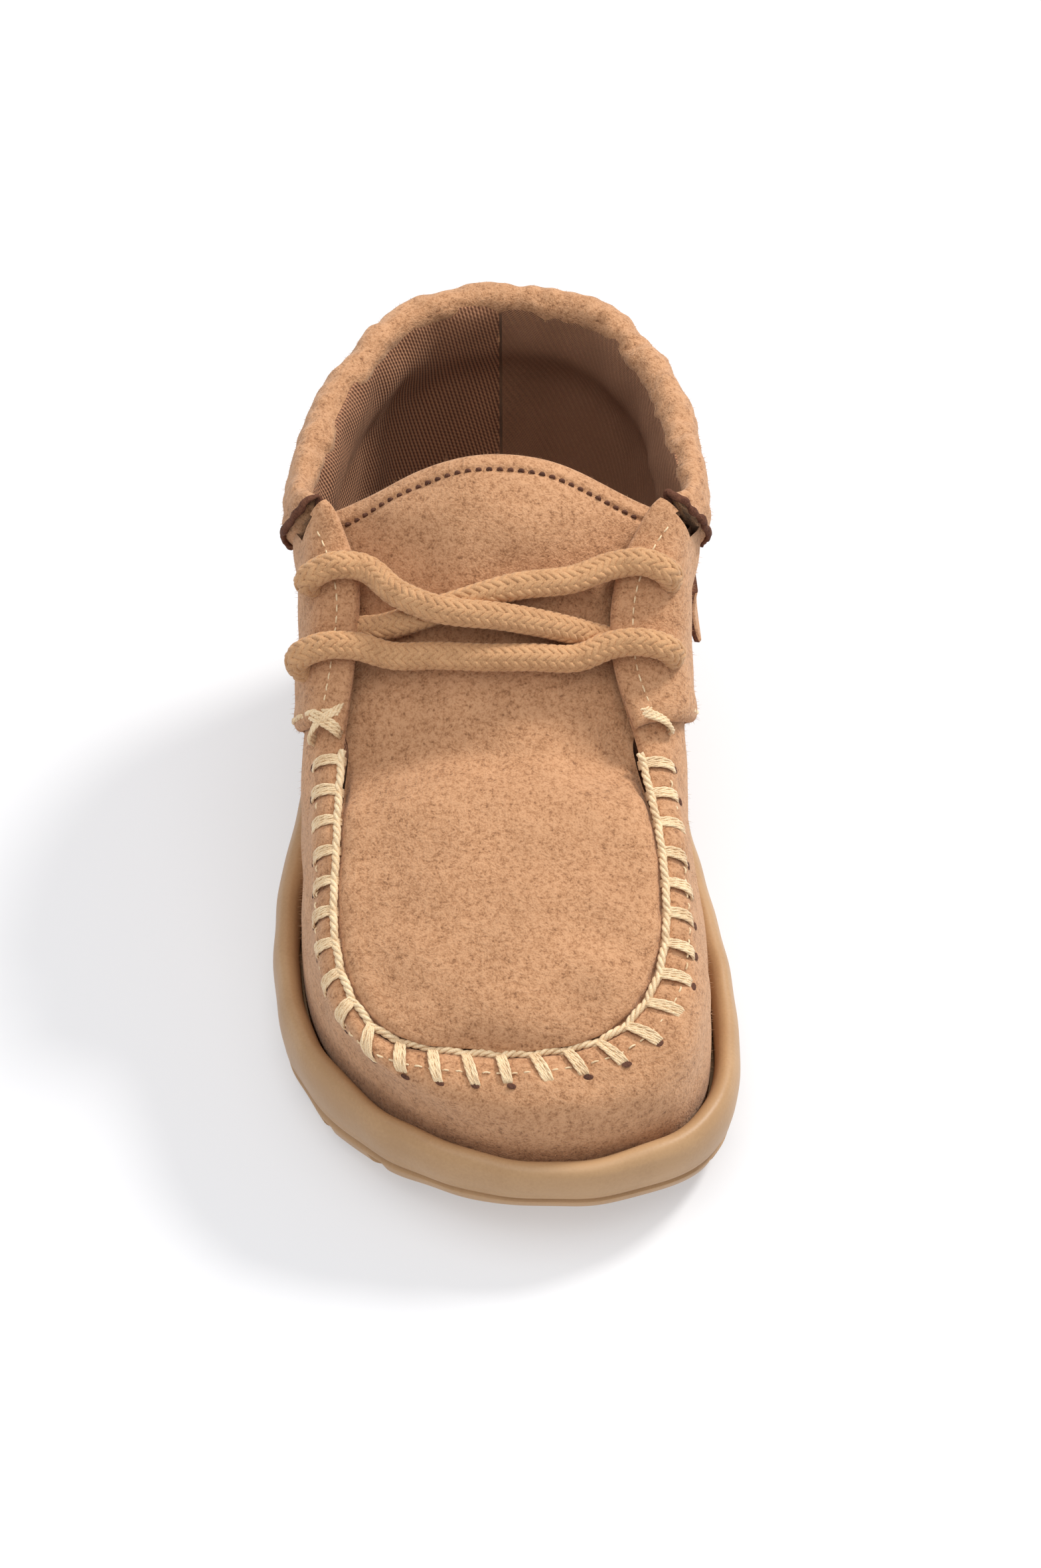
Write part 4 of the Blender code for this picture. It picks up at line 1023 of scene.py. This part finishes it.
def make_lining():
    """The twill lining: from the seam inside the collar's crest, over the padding and down to the insole."""
    way = np.linspace(-1, 1, 520, endpoint=False)[:, None]
    t = np.linspace(0, 1, 64)[None, :]
    way, t = np.broadcast_arrays(way, t)
    on_collar = 1 - ramp(np.abs(way), COLLAR_END_WAY - 0.02, CORNER_WAY)
    # over the roll: across and drop down its inner face, then into the wall
    knots = np.array([0.0, 0.12, 0.24, 0.36, 0.52, 1.0])
    roll = np.array([(0.74, 0.10), (0.90, 0.26), (1.02, 0.55), (1.01, 0.90), (0.80, 1.45), (0.50, 3.9)])
    over = smooth_through(knots, roll, t)
    out, rise = collar_offsets(way, over[..., 0], over[..., 1])
    wall_out = -UPPER_WALL * 0.9
    down = ramp(t, 0.30, 0.75)
    out = out * (1 - down) + wall_out * down
    rise = np.where(t > 0.52, rise * 0, rise)
    start = collar_offsets(way, over[..., 0] * 0, np.full_like(t, 1.45))[1]
    rise = np.where(t > 0.52, start + (-0.9 - start) * (t - 0.52) / 0.48, rise)
    plain_rise = 0.985 + (-0.9 - 0.985) * t
    out = out * on_collar + (wall_out) * (1 - on_collar)
    rise = rise * on_collar + plain_rise * (1 - on_collar)
    grid = offset_surface(way, rise, out)
    seam = np.exp(-(((way * 0.14) / (0.5 * MM)) ** 2))
    inside = surface_frame(way, rise)[1]
    grid = grid + inside * (0.35 * MM * seam + 0.12 * MM * soft_noise(grid, 8 * MM, 71))[..., None]
    back = grid + inside * 0.25 * MM
    run = np.cumsum(np.linalg.norm(np.diff(last_surface(np.linspace(-1, 1, 521), 0.8), axis=0), axis=1))
    u = np.broadcast_to(np.concatenate([[0], run[:-1]])[:, None], way.shape)
    fall = np.concatenate([np.zeros((way.shape[0], 1)), np.cumsum(np.linalg.norm(np.diff(grid, axis=1), axis=-1), axis=1)], axis=1)
    mirror = np.where(way > 0, -2.2 * fall, 0)
    uv = np.stack([u + mirror, -fall], -1).reshape(-1, 2)
    rows, columns = grid.shape[:2]
    half = rows * columns
    points = np.concatenate([grid.reshape(-1, 3), back.reshape(-1, 3)])
    a = grid_quads(rows, columns)
    closing = np.array([[(rows - 1) * columns + c, (rows - 1) * columns + c + 1, c + 1, c] for c in range(columns - 1)])
    rims = []
    for column in (0, columns - 1):
        r = np.arange(rows) * columns + column
        s = (r + columns) % half
        rims.append(np.stack([r, s, s + half, r + half], -1))
    faces = np.concatenate([a, closing, (a + half)[:, ::-1], (closing + half)[:, ::-1], *rims])
    lining = outward(mesh_piece("lining", points, faces, [twill], uv=np.concatenate([uv, uv])))
    return lining


# ---- Lace ----
def lace_controls():
    """Points the cord passes, each with the surface's normal and how flat it is pressed there."""
    radius = LACE_DIAMETER / 2
    rows = []

    def facing(side, eyelet, beyond, out, flat=0.9):
        way = np.array(side * eyelet[0])
        point, normal, _ = surface_frame(way, from_edge(way, eyelet[1] * (1 - beyond)))
        rows.append((*(point + normal * (OVERLAY_THICKNESS + out)), *normal, flat))

    def tongue(way, across, lift, flat=0.9):
        way, across = np.array(way), np.array(across)
        normal = apron_normal(way, across)
        rows.append((*(apron_top(way, across) + normal * (radius * 0.92 + lift)), *normal, flat))

    def under(side, eyelet, beyond, flat=0.55):
        facing(side, eyelet, beyond, -UPPER_WALL - OVERLAY_THICKNESS - 1.25 * MM, flat)

    # from inside, up through the upper outer eyelet
    under(-1, UPPER_EYELET, -0.9, 0.7)
    facing(-1, UPPER_EYELET, -0.30, -1.2 * MM)
    facing(-1, UPPER_EYELET, -0.12, radius * 0.9)
    facing(-1, UPPER_EYELET, 0.45, radius * 1.05)
    facing(-1, (0.506, 5.2 * MM), 0.98, radius * 0.95)
    tongue(0.524, -0.52, LACE_DIAMETER * 0.66)
    tongue(0.537, -0.28, LACE_DIAMETER * 0.78)
    tongue(0.543, 0.10, LACE_DIAMETER * 0.34)
    tongue(0.549, 0.42, 0.3 * MM)
    tongue(0.556, 0.72, -0.3 * MM, 0.75)
    # under the inner facing and up through the lower inner eyelet
    under(1, LOWER_EYELET, 0.45)
    under(1, LOWER_EYELET, -0.35, 0.7)
    facing(1, LOWER_EYELET, -0.30, 0.4 * MM)
    facing(1, LOWER_EYELET, -0.05, radius * 1.0)
    facing(1, LOWER_EYELET, 0.45, radius * 1.05)
    facing(1, (0.566, 6.5 * MM), 0.98, radius * 0.85)
    tongue(0.574, 0.60, 1.0 * MM)
    tongue(0.574, 0.30, 0.4 * MM)
    tongue(0.574, 0.0, 0.2 * MM)
    tongue(0.572, -0.30, 0.4 * MM)
    tongue(0.571, -0.60, 1.0 * MM)
    facing(-1, (0.566, 6.5 * MM), 0.98, radius * 0.85)
    facing(-1, LOWER_EYELET, 0.45, radius * 1.05)
    facing(-1, LOWER_EYELET, -0.05, radius * 1.0)
    facing(-1, LOWER_EYELET, -0.30, 0.4 * MM)
    # under the outer facing, out over the tongue and under the first run
    under(-1, LOWER_EYELET, -0.35, 0.7)
    under(-1, (0.552, 6.5 * MM), 0.55)
    tongue(0.548, -0.66, -0.2 * MM, 0.75)
    tongue(0.534, -0.22, 0.1 * MM)
    tongue(0.519, 0.18, 0.2 * MM)
    tongue(0.510, 0.52, 0.9 * MM)
    facing(1, (0.506, 5.2 * MM), 0.98, radius * 0.9)
    facing(1, UPPER_EYELET, 0.45, radius * 1.05)
    facing(1, UPPER_EYELET, -0.05, radius * 1.0)
    facing(1, UPPER_EYELET, -0.30, 0.2 * MM)
    under(1, UPPER_EYELET, -0.9, 0.7)
    return np.array(rows)


LACE_STRANDS = 10
BRAID_PITCH = 13.0 * MM


def make_lace():
    """One braided cord, plaited of strands that pass over and under each other."""
    rows = lace_controls()
    run = np.concatenate([[0], np.cumsum(np.linalg.norm(np.diff(rows[:, :3], axis=0), axis=1))])
    steps = int(run[-1] / (0.33 * MM))
    line = smooth_through(run, rows, np.linspace(0, run[-1], steps))
    path, normal, flat = line[:, :3], unit(line[:, 3:6]), line[:, 6]
    for _ in range(4):
        path[1:-1] = (path[:-2] + 2 * path[1:-1] + path[2:]) / 4
    ahead = unit(np.gradient(path, axis=0))
    side = unit(np.cross(ahead, normal))
    up = np.cross(side, ahead)
    along = np.concatenate([[0], np.cumsum(np.linalg.norm(np.diff(path, axis=0), axis=1))])
    strand = 0.40 * MM
    middle = LACE_DIAMETER / 2 - 1.15 * strand
    paths, normals = [], []
    for turn in (1, -1):
        for k in range(LACE_STRANDS):
            theta = turn * 2 * math.pi * along / BRAID_PITCH + 2 * math.pi * k / LACE_STRANDS
            reach = middle + turn * 0.30 * strand * np.sin(LACE_STRANDS / 2 * theta)
            radial = np.cos(theta)[:, None] * side + (flat * np.sin(theta))[:, None] * up
            paths.append(path + radial * reach[:, None])
            normals.append(unit(radial))
    sections = tube_sections(np.array(paths), np.array(normals), 1.25 * strand, 6, 0.62)
    core = tube_sections(path[None], normal[None], middle - 0.1 * MM, 12, flat[None])
    points, faces = merged([joined_tubes(sections), joined_tubes(core)])
    lace = mesh_piece("lace_braid", points, faces, [braid])
    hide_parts("lace")
    return lace


# ---- Hand stitches, threads and machine stitches ----
def seam_place(way, depth, out):
    """A place near the hand-sewn seam: depth down the vamp from it, or onto the plug if negative."""
    way = np.mod(np.asarray(way, float) + 1, 2) - 1
    down = np.clip(depth, 0, None)
    rise = from_edge(way, down)
    point, normal, up = surface_frame(way, rise)
    relief = upper_relief(way, rise, down)
    return point + normal * (out + relief)[..., None] - up * np.minimum(depth, 0)[..., None], normal


def make_whip_stitches():
    """The pale hand stitches over the vamp's edge, each of four strands of floss in three plies."""
    rng = np.random.default_rng(5)
    paths, normals, radii = [], [], []
    t = np.linspace(0, 1, 18)
    for way in STITCH_WAYS:
        pitch_way = 1.0 * MM / np.gradient(SEAM_RUN, SEAM_WAYS)[np.searchsorted(SEAM_WAYS, way)]
        slant, length = rng.uniform(-0.5, 0.5), STITCH_LENGTH * rng.uniform(0.92, 1.06)
        for strand in range(4):
            lane = (strand - 1.5) * 0.36
            phase = rng.uniform(0, 2 * math.pi)
            fan = 0.72 + 0.30 * np.sin(math.pi * t)
            for ply in range(3):
                turn = phase + 2 * math.pi * ply / 3 + 2 * math.pi * 1.6 * t
                sideways = lane * fan + slant * (t - 0.3) + 0.13 * np.cos(turn) + 0.25 * np.sin(2.4 * t + phase) * 0.3
                depth = -0.55 * MM + (length + 0.55 * MM) * t
                lift = MM * (0.55 * np.sin(math.pi * t) ** 0.45 + 0.13 * np.sin(turn) - 0.75 * (1 - np.sin(math.pi * t) ** 0.3))
                point, normal = seam_place(way + sideways * pitch_way, depth, lift)
                paths.append(point)
                normals.append(normal)
                radii.append(np.full(t.shape, 0.155 * MM))
    sections = tube_sections(np.array(paths), np.array(normals), np.array(radii), 6)
    points, faces = joined_tubes(sections)
    stitches = mesh_piece("whip_stitches", points, faces, [floss])
    return stitches


def make_stitch_hole_shades():
    """A small dark disc on the vamp at each stitch's outer end: painted shade standing for the hole the stitch goes
    into.
    """
    parts = []
    turn = np.linspace(0, 2 * math.pi, 14, endpoint=False)
    for way in STITCH_WAYS:
        pitch_way = 1.0 * MM / np.gradient(SEAM_RUN, SEAM_WAYS)[np.searchsorted(SEAM_WAYS, way)]
        rings = []
        for size, out in ((0.62, 0.02), (0.45, 0.10), (0.12, 0.05)):
            point, _ = seam_place(way + size * 0.9 * np.cos(turn) * pitch_way, STITCH_LENGTH + (0.15 + size * 0.75 * np.sin(turn)) * MM, np.full(turn.shape, out * MM))
            rings.append(point)
        points = np.concatenate(rings)
        faces = grid_quads(3, len(turn), ring=True).tolist() + [list(range(2 * len(turn), 3 * len(turn)))]
        parts.append((points, faces))
    points, faces = merged(parts)
    hole_shades = mesh_piece("stitch_hole_shades", points, faces, [dark_thread_and_hole_shade])
    return hole_shades


def twisted(path, normal, radius, plies, pitch, sides=6):
    """Rings of a twisted thread along one path."""
    along = np.concatenate([[0], np.cumsum(np.linalg.norm(np.diff(path, axis=0), axis=1))])
    ahead = unit(np.gradient(path, axis=0))
    side = unit(np.cross(ahead, normal))
    up = np.cross(side, ahead)
    paths = []
    for ply in range(plies):
        turn = 2 * math.pi * (along / pitch + ply / plies)
        paths.append(path + 0.52 * radius * (np.cos(turn)[:, None] * side + np.sin(turn)[:, None] * up))
    paths = np.array(paths)
    return tube_sections(paths, np.broadcast_to(normal, paths.shape), 0.58 * radius, sides)


def make_seam_thread():
    """The twisted thread that lies in the seam and ties the stitches together."""
    way = np.linspace(FIRST_STITCH_WAY - 0.008, LAST_STITCH_WAY + 0.008, 900)
    pull = stitch_pull(way)
    point, normal = seam_place(way, np.full(way.shape, -0.15 * MM) + 0.25 * MM * pull, np.full(way.shape, -0.05 * MM) + 0.12 * MM * (1 - pull))
    points, faces = joined_tubes(twisted(point, normal, 0.56 * MM, 3, 3.4 * MM))
    thread = mesh_piece("seam_thread", points, faces, [floss])
    return thread


def short_stitches(path_at, normal_at, length, pitch, radius, total, dip, seed):
    """Machine stitches along a line: path_at(s) and normal_at(s) take distances along it."""
    rng = np.random.default_rng(seed)
    starts = np.arange(pitch * 0.5, total - pitch, pitch)
    t = np.linspace(0, 1, 7)
    s = starts[:, None] + t * length
    lift = radius * (1.5 * np.sin(math.pi * t) - dip) + rng.normal(0, 0.12, (len(starts), 1)) * radius
    normal = normal_at(s)
    return joined_tubes(tube_sections(path_at(s) + normal * lift[..., None], normal, radius, 6))


def line_functions(points, normals):
    """Interpolators over a sampled line, and its length."""
    run = np.concatenate([[0], np.cumsum(np.linalg.norm(np.diff(points, axis=0), axis=1))])

    def at(values):
        return lambda s: np.stack([np.interp(s, run, values[:, k]) for k in range(3)], -1)

    def unit_at(values):
        inner = at(values)
        return lambda s: unit(inner(s))

    return at(points), unit_at(normals), run[-1]


def make_machine_stitches():
    """Pale machine stitches: outside the hand-sewn seam and along each facing's edge."""
    parts = []
    way = np.linspace(0.66, 1.34, 500)
    point, normal = seam_place(way, np.full(way.shape, 3.4 * MM), np.full(way.shape, 0.0))
    path_at, normal_at, total = line_functions(point, normal)
    parts.append(short_stitches(path_at, normal_at, 1.0 * MM, 1.9 * MM, 0.14 * MM, total, 0.9, 1))
    for side in (-1, 1):
        way = side * np.linspace(0.458, 0.615, 300)
        rise = from_edge(way, np.full(way.shape, 3.1 * MM))
        base, normal, _ = surface_frame(way, rise)
        base = base + normal * (0.15 * MM + OVERLAY_THICKNESS - 0.14 * MM)
        base = base + normal * (0.16 * MM * soft_noise(surface_frame(way, rise)[0], 10 * MM, 21))[..., None]
        path_at, normal_at, total = line_functions(base, normal)
        parts.append(short_stitches(path_at, normal_at, 1.0 * MM, 1.6 * MM, 0.13 * MM, total, 0.7, 2))
    points, faces = merged(parts)
    stitches = mesh_piece("machine_stitches", points, faces, [floss])
    return stitches


def make_tongue_stitches():
    """The dark stitches along the tongue's turned hem."""
    across = np.linspace(-0.97, 0.97, 400)
    way = np.empty_like(across)
    for k, a in enumerate(across):
        ways = np.linspace(TONGUE_TOP_WAY, 0.48, 60)
        points = apron_top(ways, np.full(ways.shape, a))
        reach = np.linalg.norm(points - points[0], axis=-1)
        way[k] = np.interp(2.9 * MM, reach, ways)
    base, normal = apron_top(way, across), apron_normal(way, across)
    base = base + normal * (0.15 * MM * soft_noise(base, 11 * MM, 31) - 0.12 * MM)[..., None]
    path_at, normal_at, total = line_functions(base, normal)
    points, faces = short_stitches(path_at, normal_at, 0.62 * MM, 1.5 * MM, 0.26 * MM, total, 0.6, 3)
    stitches = mesh_piece("tongue_stitches", points, faces, [dark_thread_and_hole_shade])
    return stitches


def make_quarter_thread():
    """The pale hand thread along each overlay's lower front edge, with its knot stitches at the seam's end."""
    parts = []
    for side in (-1, 1):
        rise = np.linspace(0.99, 0.50, 260)
        edge = smooth_through(QUARTER_EDGE[:, 0], QUARTER_EDGE[:, 1:], rise)[:, 0]
        way = side * (edge - 0.010)
        base, normal, _ = surface_frame(way, rise)
        base = base + normal * (0.15 * MM + OVERLAY_THICKNESS + 0.1 * MM)
        path_at, normal_at, total = line_functions(base, normal)
        starts = np.arange(0.6 * MM, total - 3.4 * MM, 3.3 * MM)
        for start in starts:
            t = np.linspace(0, 1, 24)
            s = start + 2.5 * MM * t
            path = path_at(s) + normal_at(s) * (MM * (0.35 * np.sin(math.pi * t) - 0.30))[:, None]
            parts.append(joined_tubes(twisted(path, normal_at(s), 0.38 * MM, 3, 2.2 * MM)))
        parts += knot_stitches(side)
    points, faces = merged(parts)
    thread = mesh_piece("quarter_thread", points, faces, [floss])
    return thread


def knot_stitches(side):
    """The thick stitches that tie the overlay's tip down: from (way, depth) to (way, depth)."""
    parts = []
    t = np.linspace(0, 1, 24)
    for (way_a, depth_a), (way_b, depth_b) in KNOTS[side]:
        for lane in (-0.45, 0.0, 0.45):
            way = side * (way_a + (way_b - way_a) * t + lane * 0.006)
            depth = (depth_a + (depth_b - depth_a) * t + lane * 0.3) * MM
            rise = from_edge(way, np.clip(depth, 0, None))
            base, normal, _ = surface_frame(way, rise)
            out = MM * (1.95 * np.sin(math.pi * t) ** 0.35 - 0.25 + 0.1 * lane)
            parts.append(joined_tubes(twisted(base + normal * out[:, None], normal, 0.33 * MM, 3, 2.4 * MM)))
    return parts


KNOTS = {
    -1: [((0.608, 0.4), (0.628, 5.2)), ((0.628, 0.4), (0.606, 5.6))],
    1: [((0.612, 0.3), (0.622, 5.8))],
}


def make_side_tag():
    """A small suede tag, its upper end sewn to the inner quarter and its lower end standing out."""
    wall_run = float(np.linalg.norm(last_surface(1e-3, 0.5) - last_surface(-1e-3, 0.5))) / 2e-3
    width = TAG_WIDTH / 2 / wall_run
    way = TAG_WAY + np.linspace(-width, width, 34)[None, :]
    drop = np.linspace(0, 1, 40)[:, None]
    way, drop = np.broadcast_arrays(way, drop)
    rise = TAG_RISE - drop * TAG_LENGTH / wall_length(way)
    stand = GAP + OVERLAY_THICKNESS + GAP + TAG_STAND * drop**2
    side = np.minimum(1 - np.abs(np.linspace(-1, 1, 34))[None, :], 1) * TAG_WIDTH / 2
    to_edge = np.minimum(side, (1 - drop) * TAG_LENGTH)
    thick = TAG_THICKNESS * (0.6 + 0.4 * edge_round(to_edge, 0.5 * MM))
    points, faces = closed_sheet(offset_surface(way, rise, stand + thick), offset_surface(way, rise, stand))
    quads = 2 * (39 * 33)
    index = np.ones(len(faces), int)
    index[:quads] = 0
    tag = outward(mesh_piece("side_tag", points, faces, [suede, raw_edge], face_materials=index))
    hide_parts("side_tab")
    return tag


# ---- Nap ----
def make_nap(name, sources, count, length, seed):
    """Short fibres standing off the suede, each a thin closed spike."""
    rng = np.random.default_rng(seed)
    starts, normals = [], []
    for piece, share in sources:
        mesh = piece.data
        centre = np.empty(len(mesh.polygons) * 3, np.float32)
        facing = np.empty(len(mesh.polygons) * 3, np.float32)
        area = np.empty(len(mesh.polygons), np.float32)
        mesh.polygons.foreach_get("center", centre)
        mesh.polygons.foreach_get("normal", facing)
        mesh.polygons.foreach_get("area", area)
        centre, facing = centre.reshape(-1, 3), facing.reshape(-1, 3)
        picked = rng.choice(len(area), int(count * share), p=area / area.sum())
        spread = np.sqrt(area[picked])[:, None] * rng.uniform(-0.5, 0.5, (len(picked), 3))
        starts.append(centre[picked] + spread - facing[picked] * (spread * facing[picked]).sum(-1, keepdims=True))
        normals.append(facing[picked])
    start, normal = np.concatenate(starts), np.concatenate(normals)
    lean = unit(rng.normal(size=start.shape))
    side = unit(np.cross(normal, lean))
    other = np.cross(normal, side)
    tip = start + (normal + 0.75 * lean + np.array([0, -0.15, -0.25])) * (length * rng.uniform(0.35, 1.0, (len(start), 1)))
    base = start - normal * 0.08 * MM
    thin = 0.030 * MM
    corners = [base + thin * (math.cos(a) * side + math.sin(a) * other) for a in (0, 2.094, 4.189)]
    points = np.stack(corners + [tip], 1).reshape(-1, 3)
    first = np.arange(len(start))[:, None] * 4
    faces = np.concatenate([first + np.array(f) for f in ((0, 1, 3), (1, 2, 3), (2, 0, 3), (2, 1, 0))])
    nap = mesh_piece(name, points, faces, [fibre])
    return nap


fibre = finish_material(
    "suede_fibre",
    YARN,
    {"Light": (0.72, 0.42, 0.23, 1), "Dark": (0.46, 0.22, 0.10, 1), "Fibre Scale": 1500.0},
    0.9, 0.1, 0.0001, sheen=0.2, sheen_tint=(1.0, 0.8, 0.6, 1),
)

make_sole()
make_insole()
upper = make_upper()
outer_quarter = make_quarter("quarter_outer_side", "quarter_left", -1)
inner_quarter = make_quarter("quarter_inner_side", "quarter_right", 1)
tongue = make_apron_tongue()
collar = make_collar()
make_collar_edges()
make_lining()
make_lace()
make_whip_stitches()
make_stitch_hole_shades()
make_seam_thread()
make_machine_stitches()
make_tongue_stitches()
make_quarter_thread()
make_side_tag()
make_nap("suede_nap_fibres", [(upper, 0.34), (outer_quarter, 0.17), (inner_quarter, 0.17), (tongue, 0.17), (collar, 0.15)], 34000, 0.55 * MM, 9)


# ---- Floor, light and camera ----
def make_floor():
    mesh = bpy.data.meshes.new("floor")
    size = 4.0
    mesh.from_pydata([(-size, -size, 0), (size, -size, 0), (size, size, 0), (-size, size, 0)], [], [(0, 1, 2, 3)])
    floor = bpy.data.objects.new("floor", mesh)
    floor.location.z = -0.05 * MM
    bpy.context.scene.collection.objects.link(floor)
    material = bpy.data.materials.new("studio_paper")
    material.use_nodes = True
    shader = material.node_tree.nodes["Principled BSDF"]
    shader.inputs["Base Color"].default_value = (0.50, 0.50, 0.505, 1)
    shader.inputs["Emission Color"].default_value = (0.98, 0.985, 1.0, 1)
    shader.inputs["Emission Strength"].default_value = 0.40
    shader.inputs["Roughness"].default_value = 0.9
    shader.inputs["Specular IOR Level"].default_value = 0.1
    mesh.materials.append(material)


def add_light(name, place, target, size, energy, colour=(1, 1, 1)):
    lamp = bpy.data.lights.new(name, "AREA")
    lamp.shape = "DISK"
    lamp.size, lamp.energy, lamp.color = size, energy, colour
    holder = bpy.data.objects.new(name, lamp)
    holder.location = place
    holder.rotation_euler = (Vector(target) - Vector(place)).to_track_quat("-Z", "Y").to_euler()
    bpy.context.scene.collection.objects.link(holder)


make_floor()
add_light("key", (0.75, 0.55, 1.05), (0, 0, 0.03), 0.30, 14, (1.0, 0.985, 0.96))
add_light("overhead", (-0.1, -0.3, 1.5), (0, 0, 0), 1.6, 12)
world = bpy.data.worlds.new("studio")
world.use_nodes = True
world.node_tree.nodes["Background"].inputs[0].default_value = (0.93, 0.95, 1.0, 1)
world.node_tree.nodes["Background"].inputs[1].default_value = 0.50
bpy.context.scene.world = world
bpy.context.scene.view_settings.view_transform = "Standard"

lens = bpy.data.cameras.new("camera")
lens.sensor_fit = "AUTO"
lens.sensor_width = 36
lens.lens = 36 * 7105 / 2361
lens.clip_start = 0.01
camera = bpy.data.objects.new("camera", lens)
camera.location = (-0.0012, -0.480, 0.511)
camera.rotation_euler = (math.radians(44.6), 0, math.radians(-0.44))
bpy.context.scene.collection.objects.link(camera)
bpy.context.scene.camera = camera
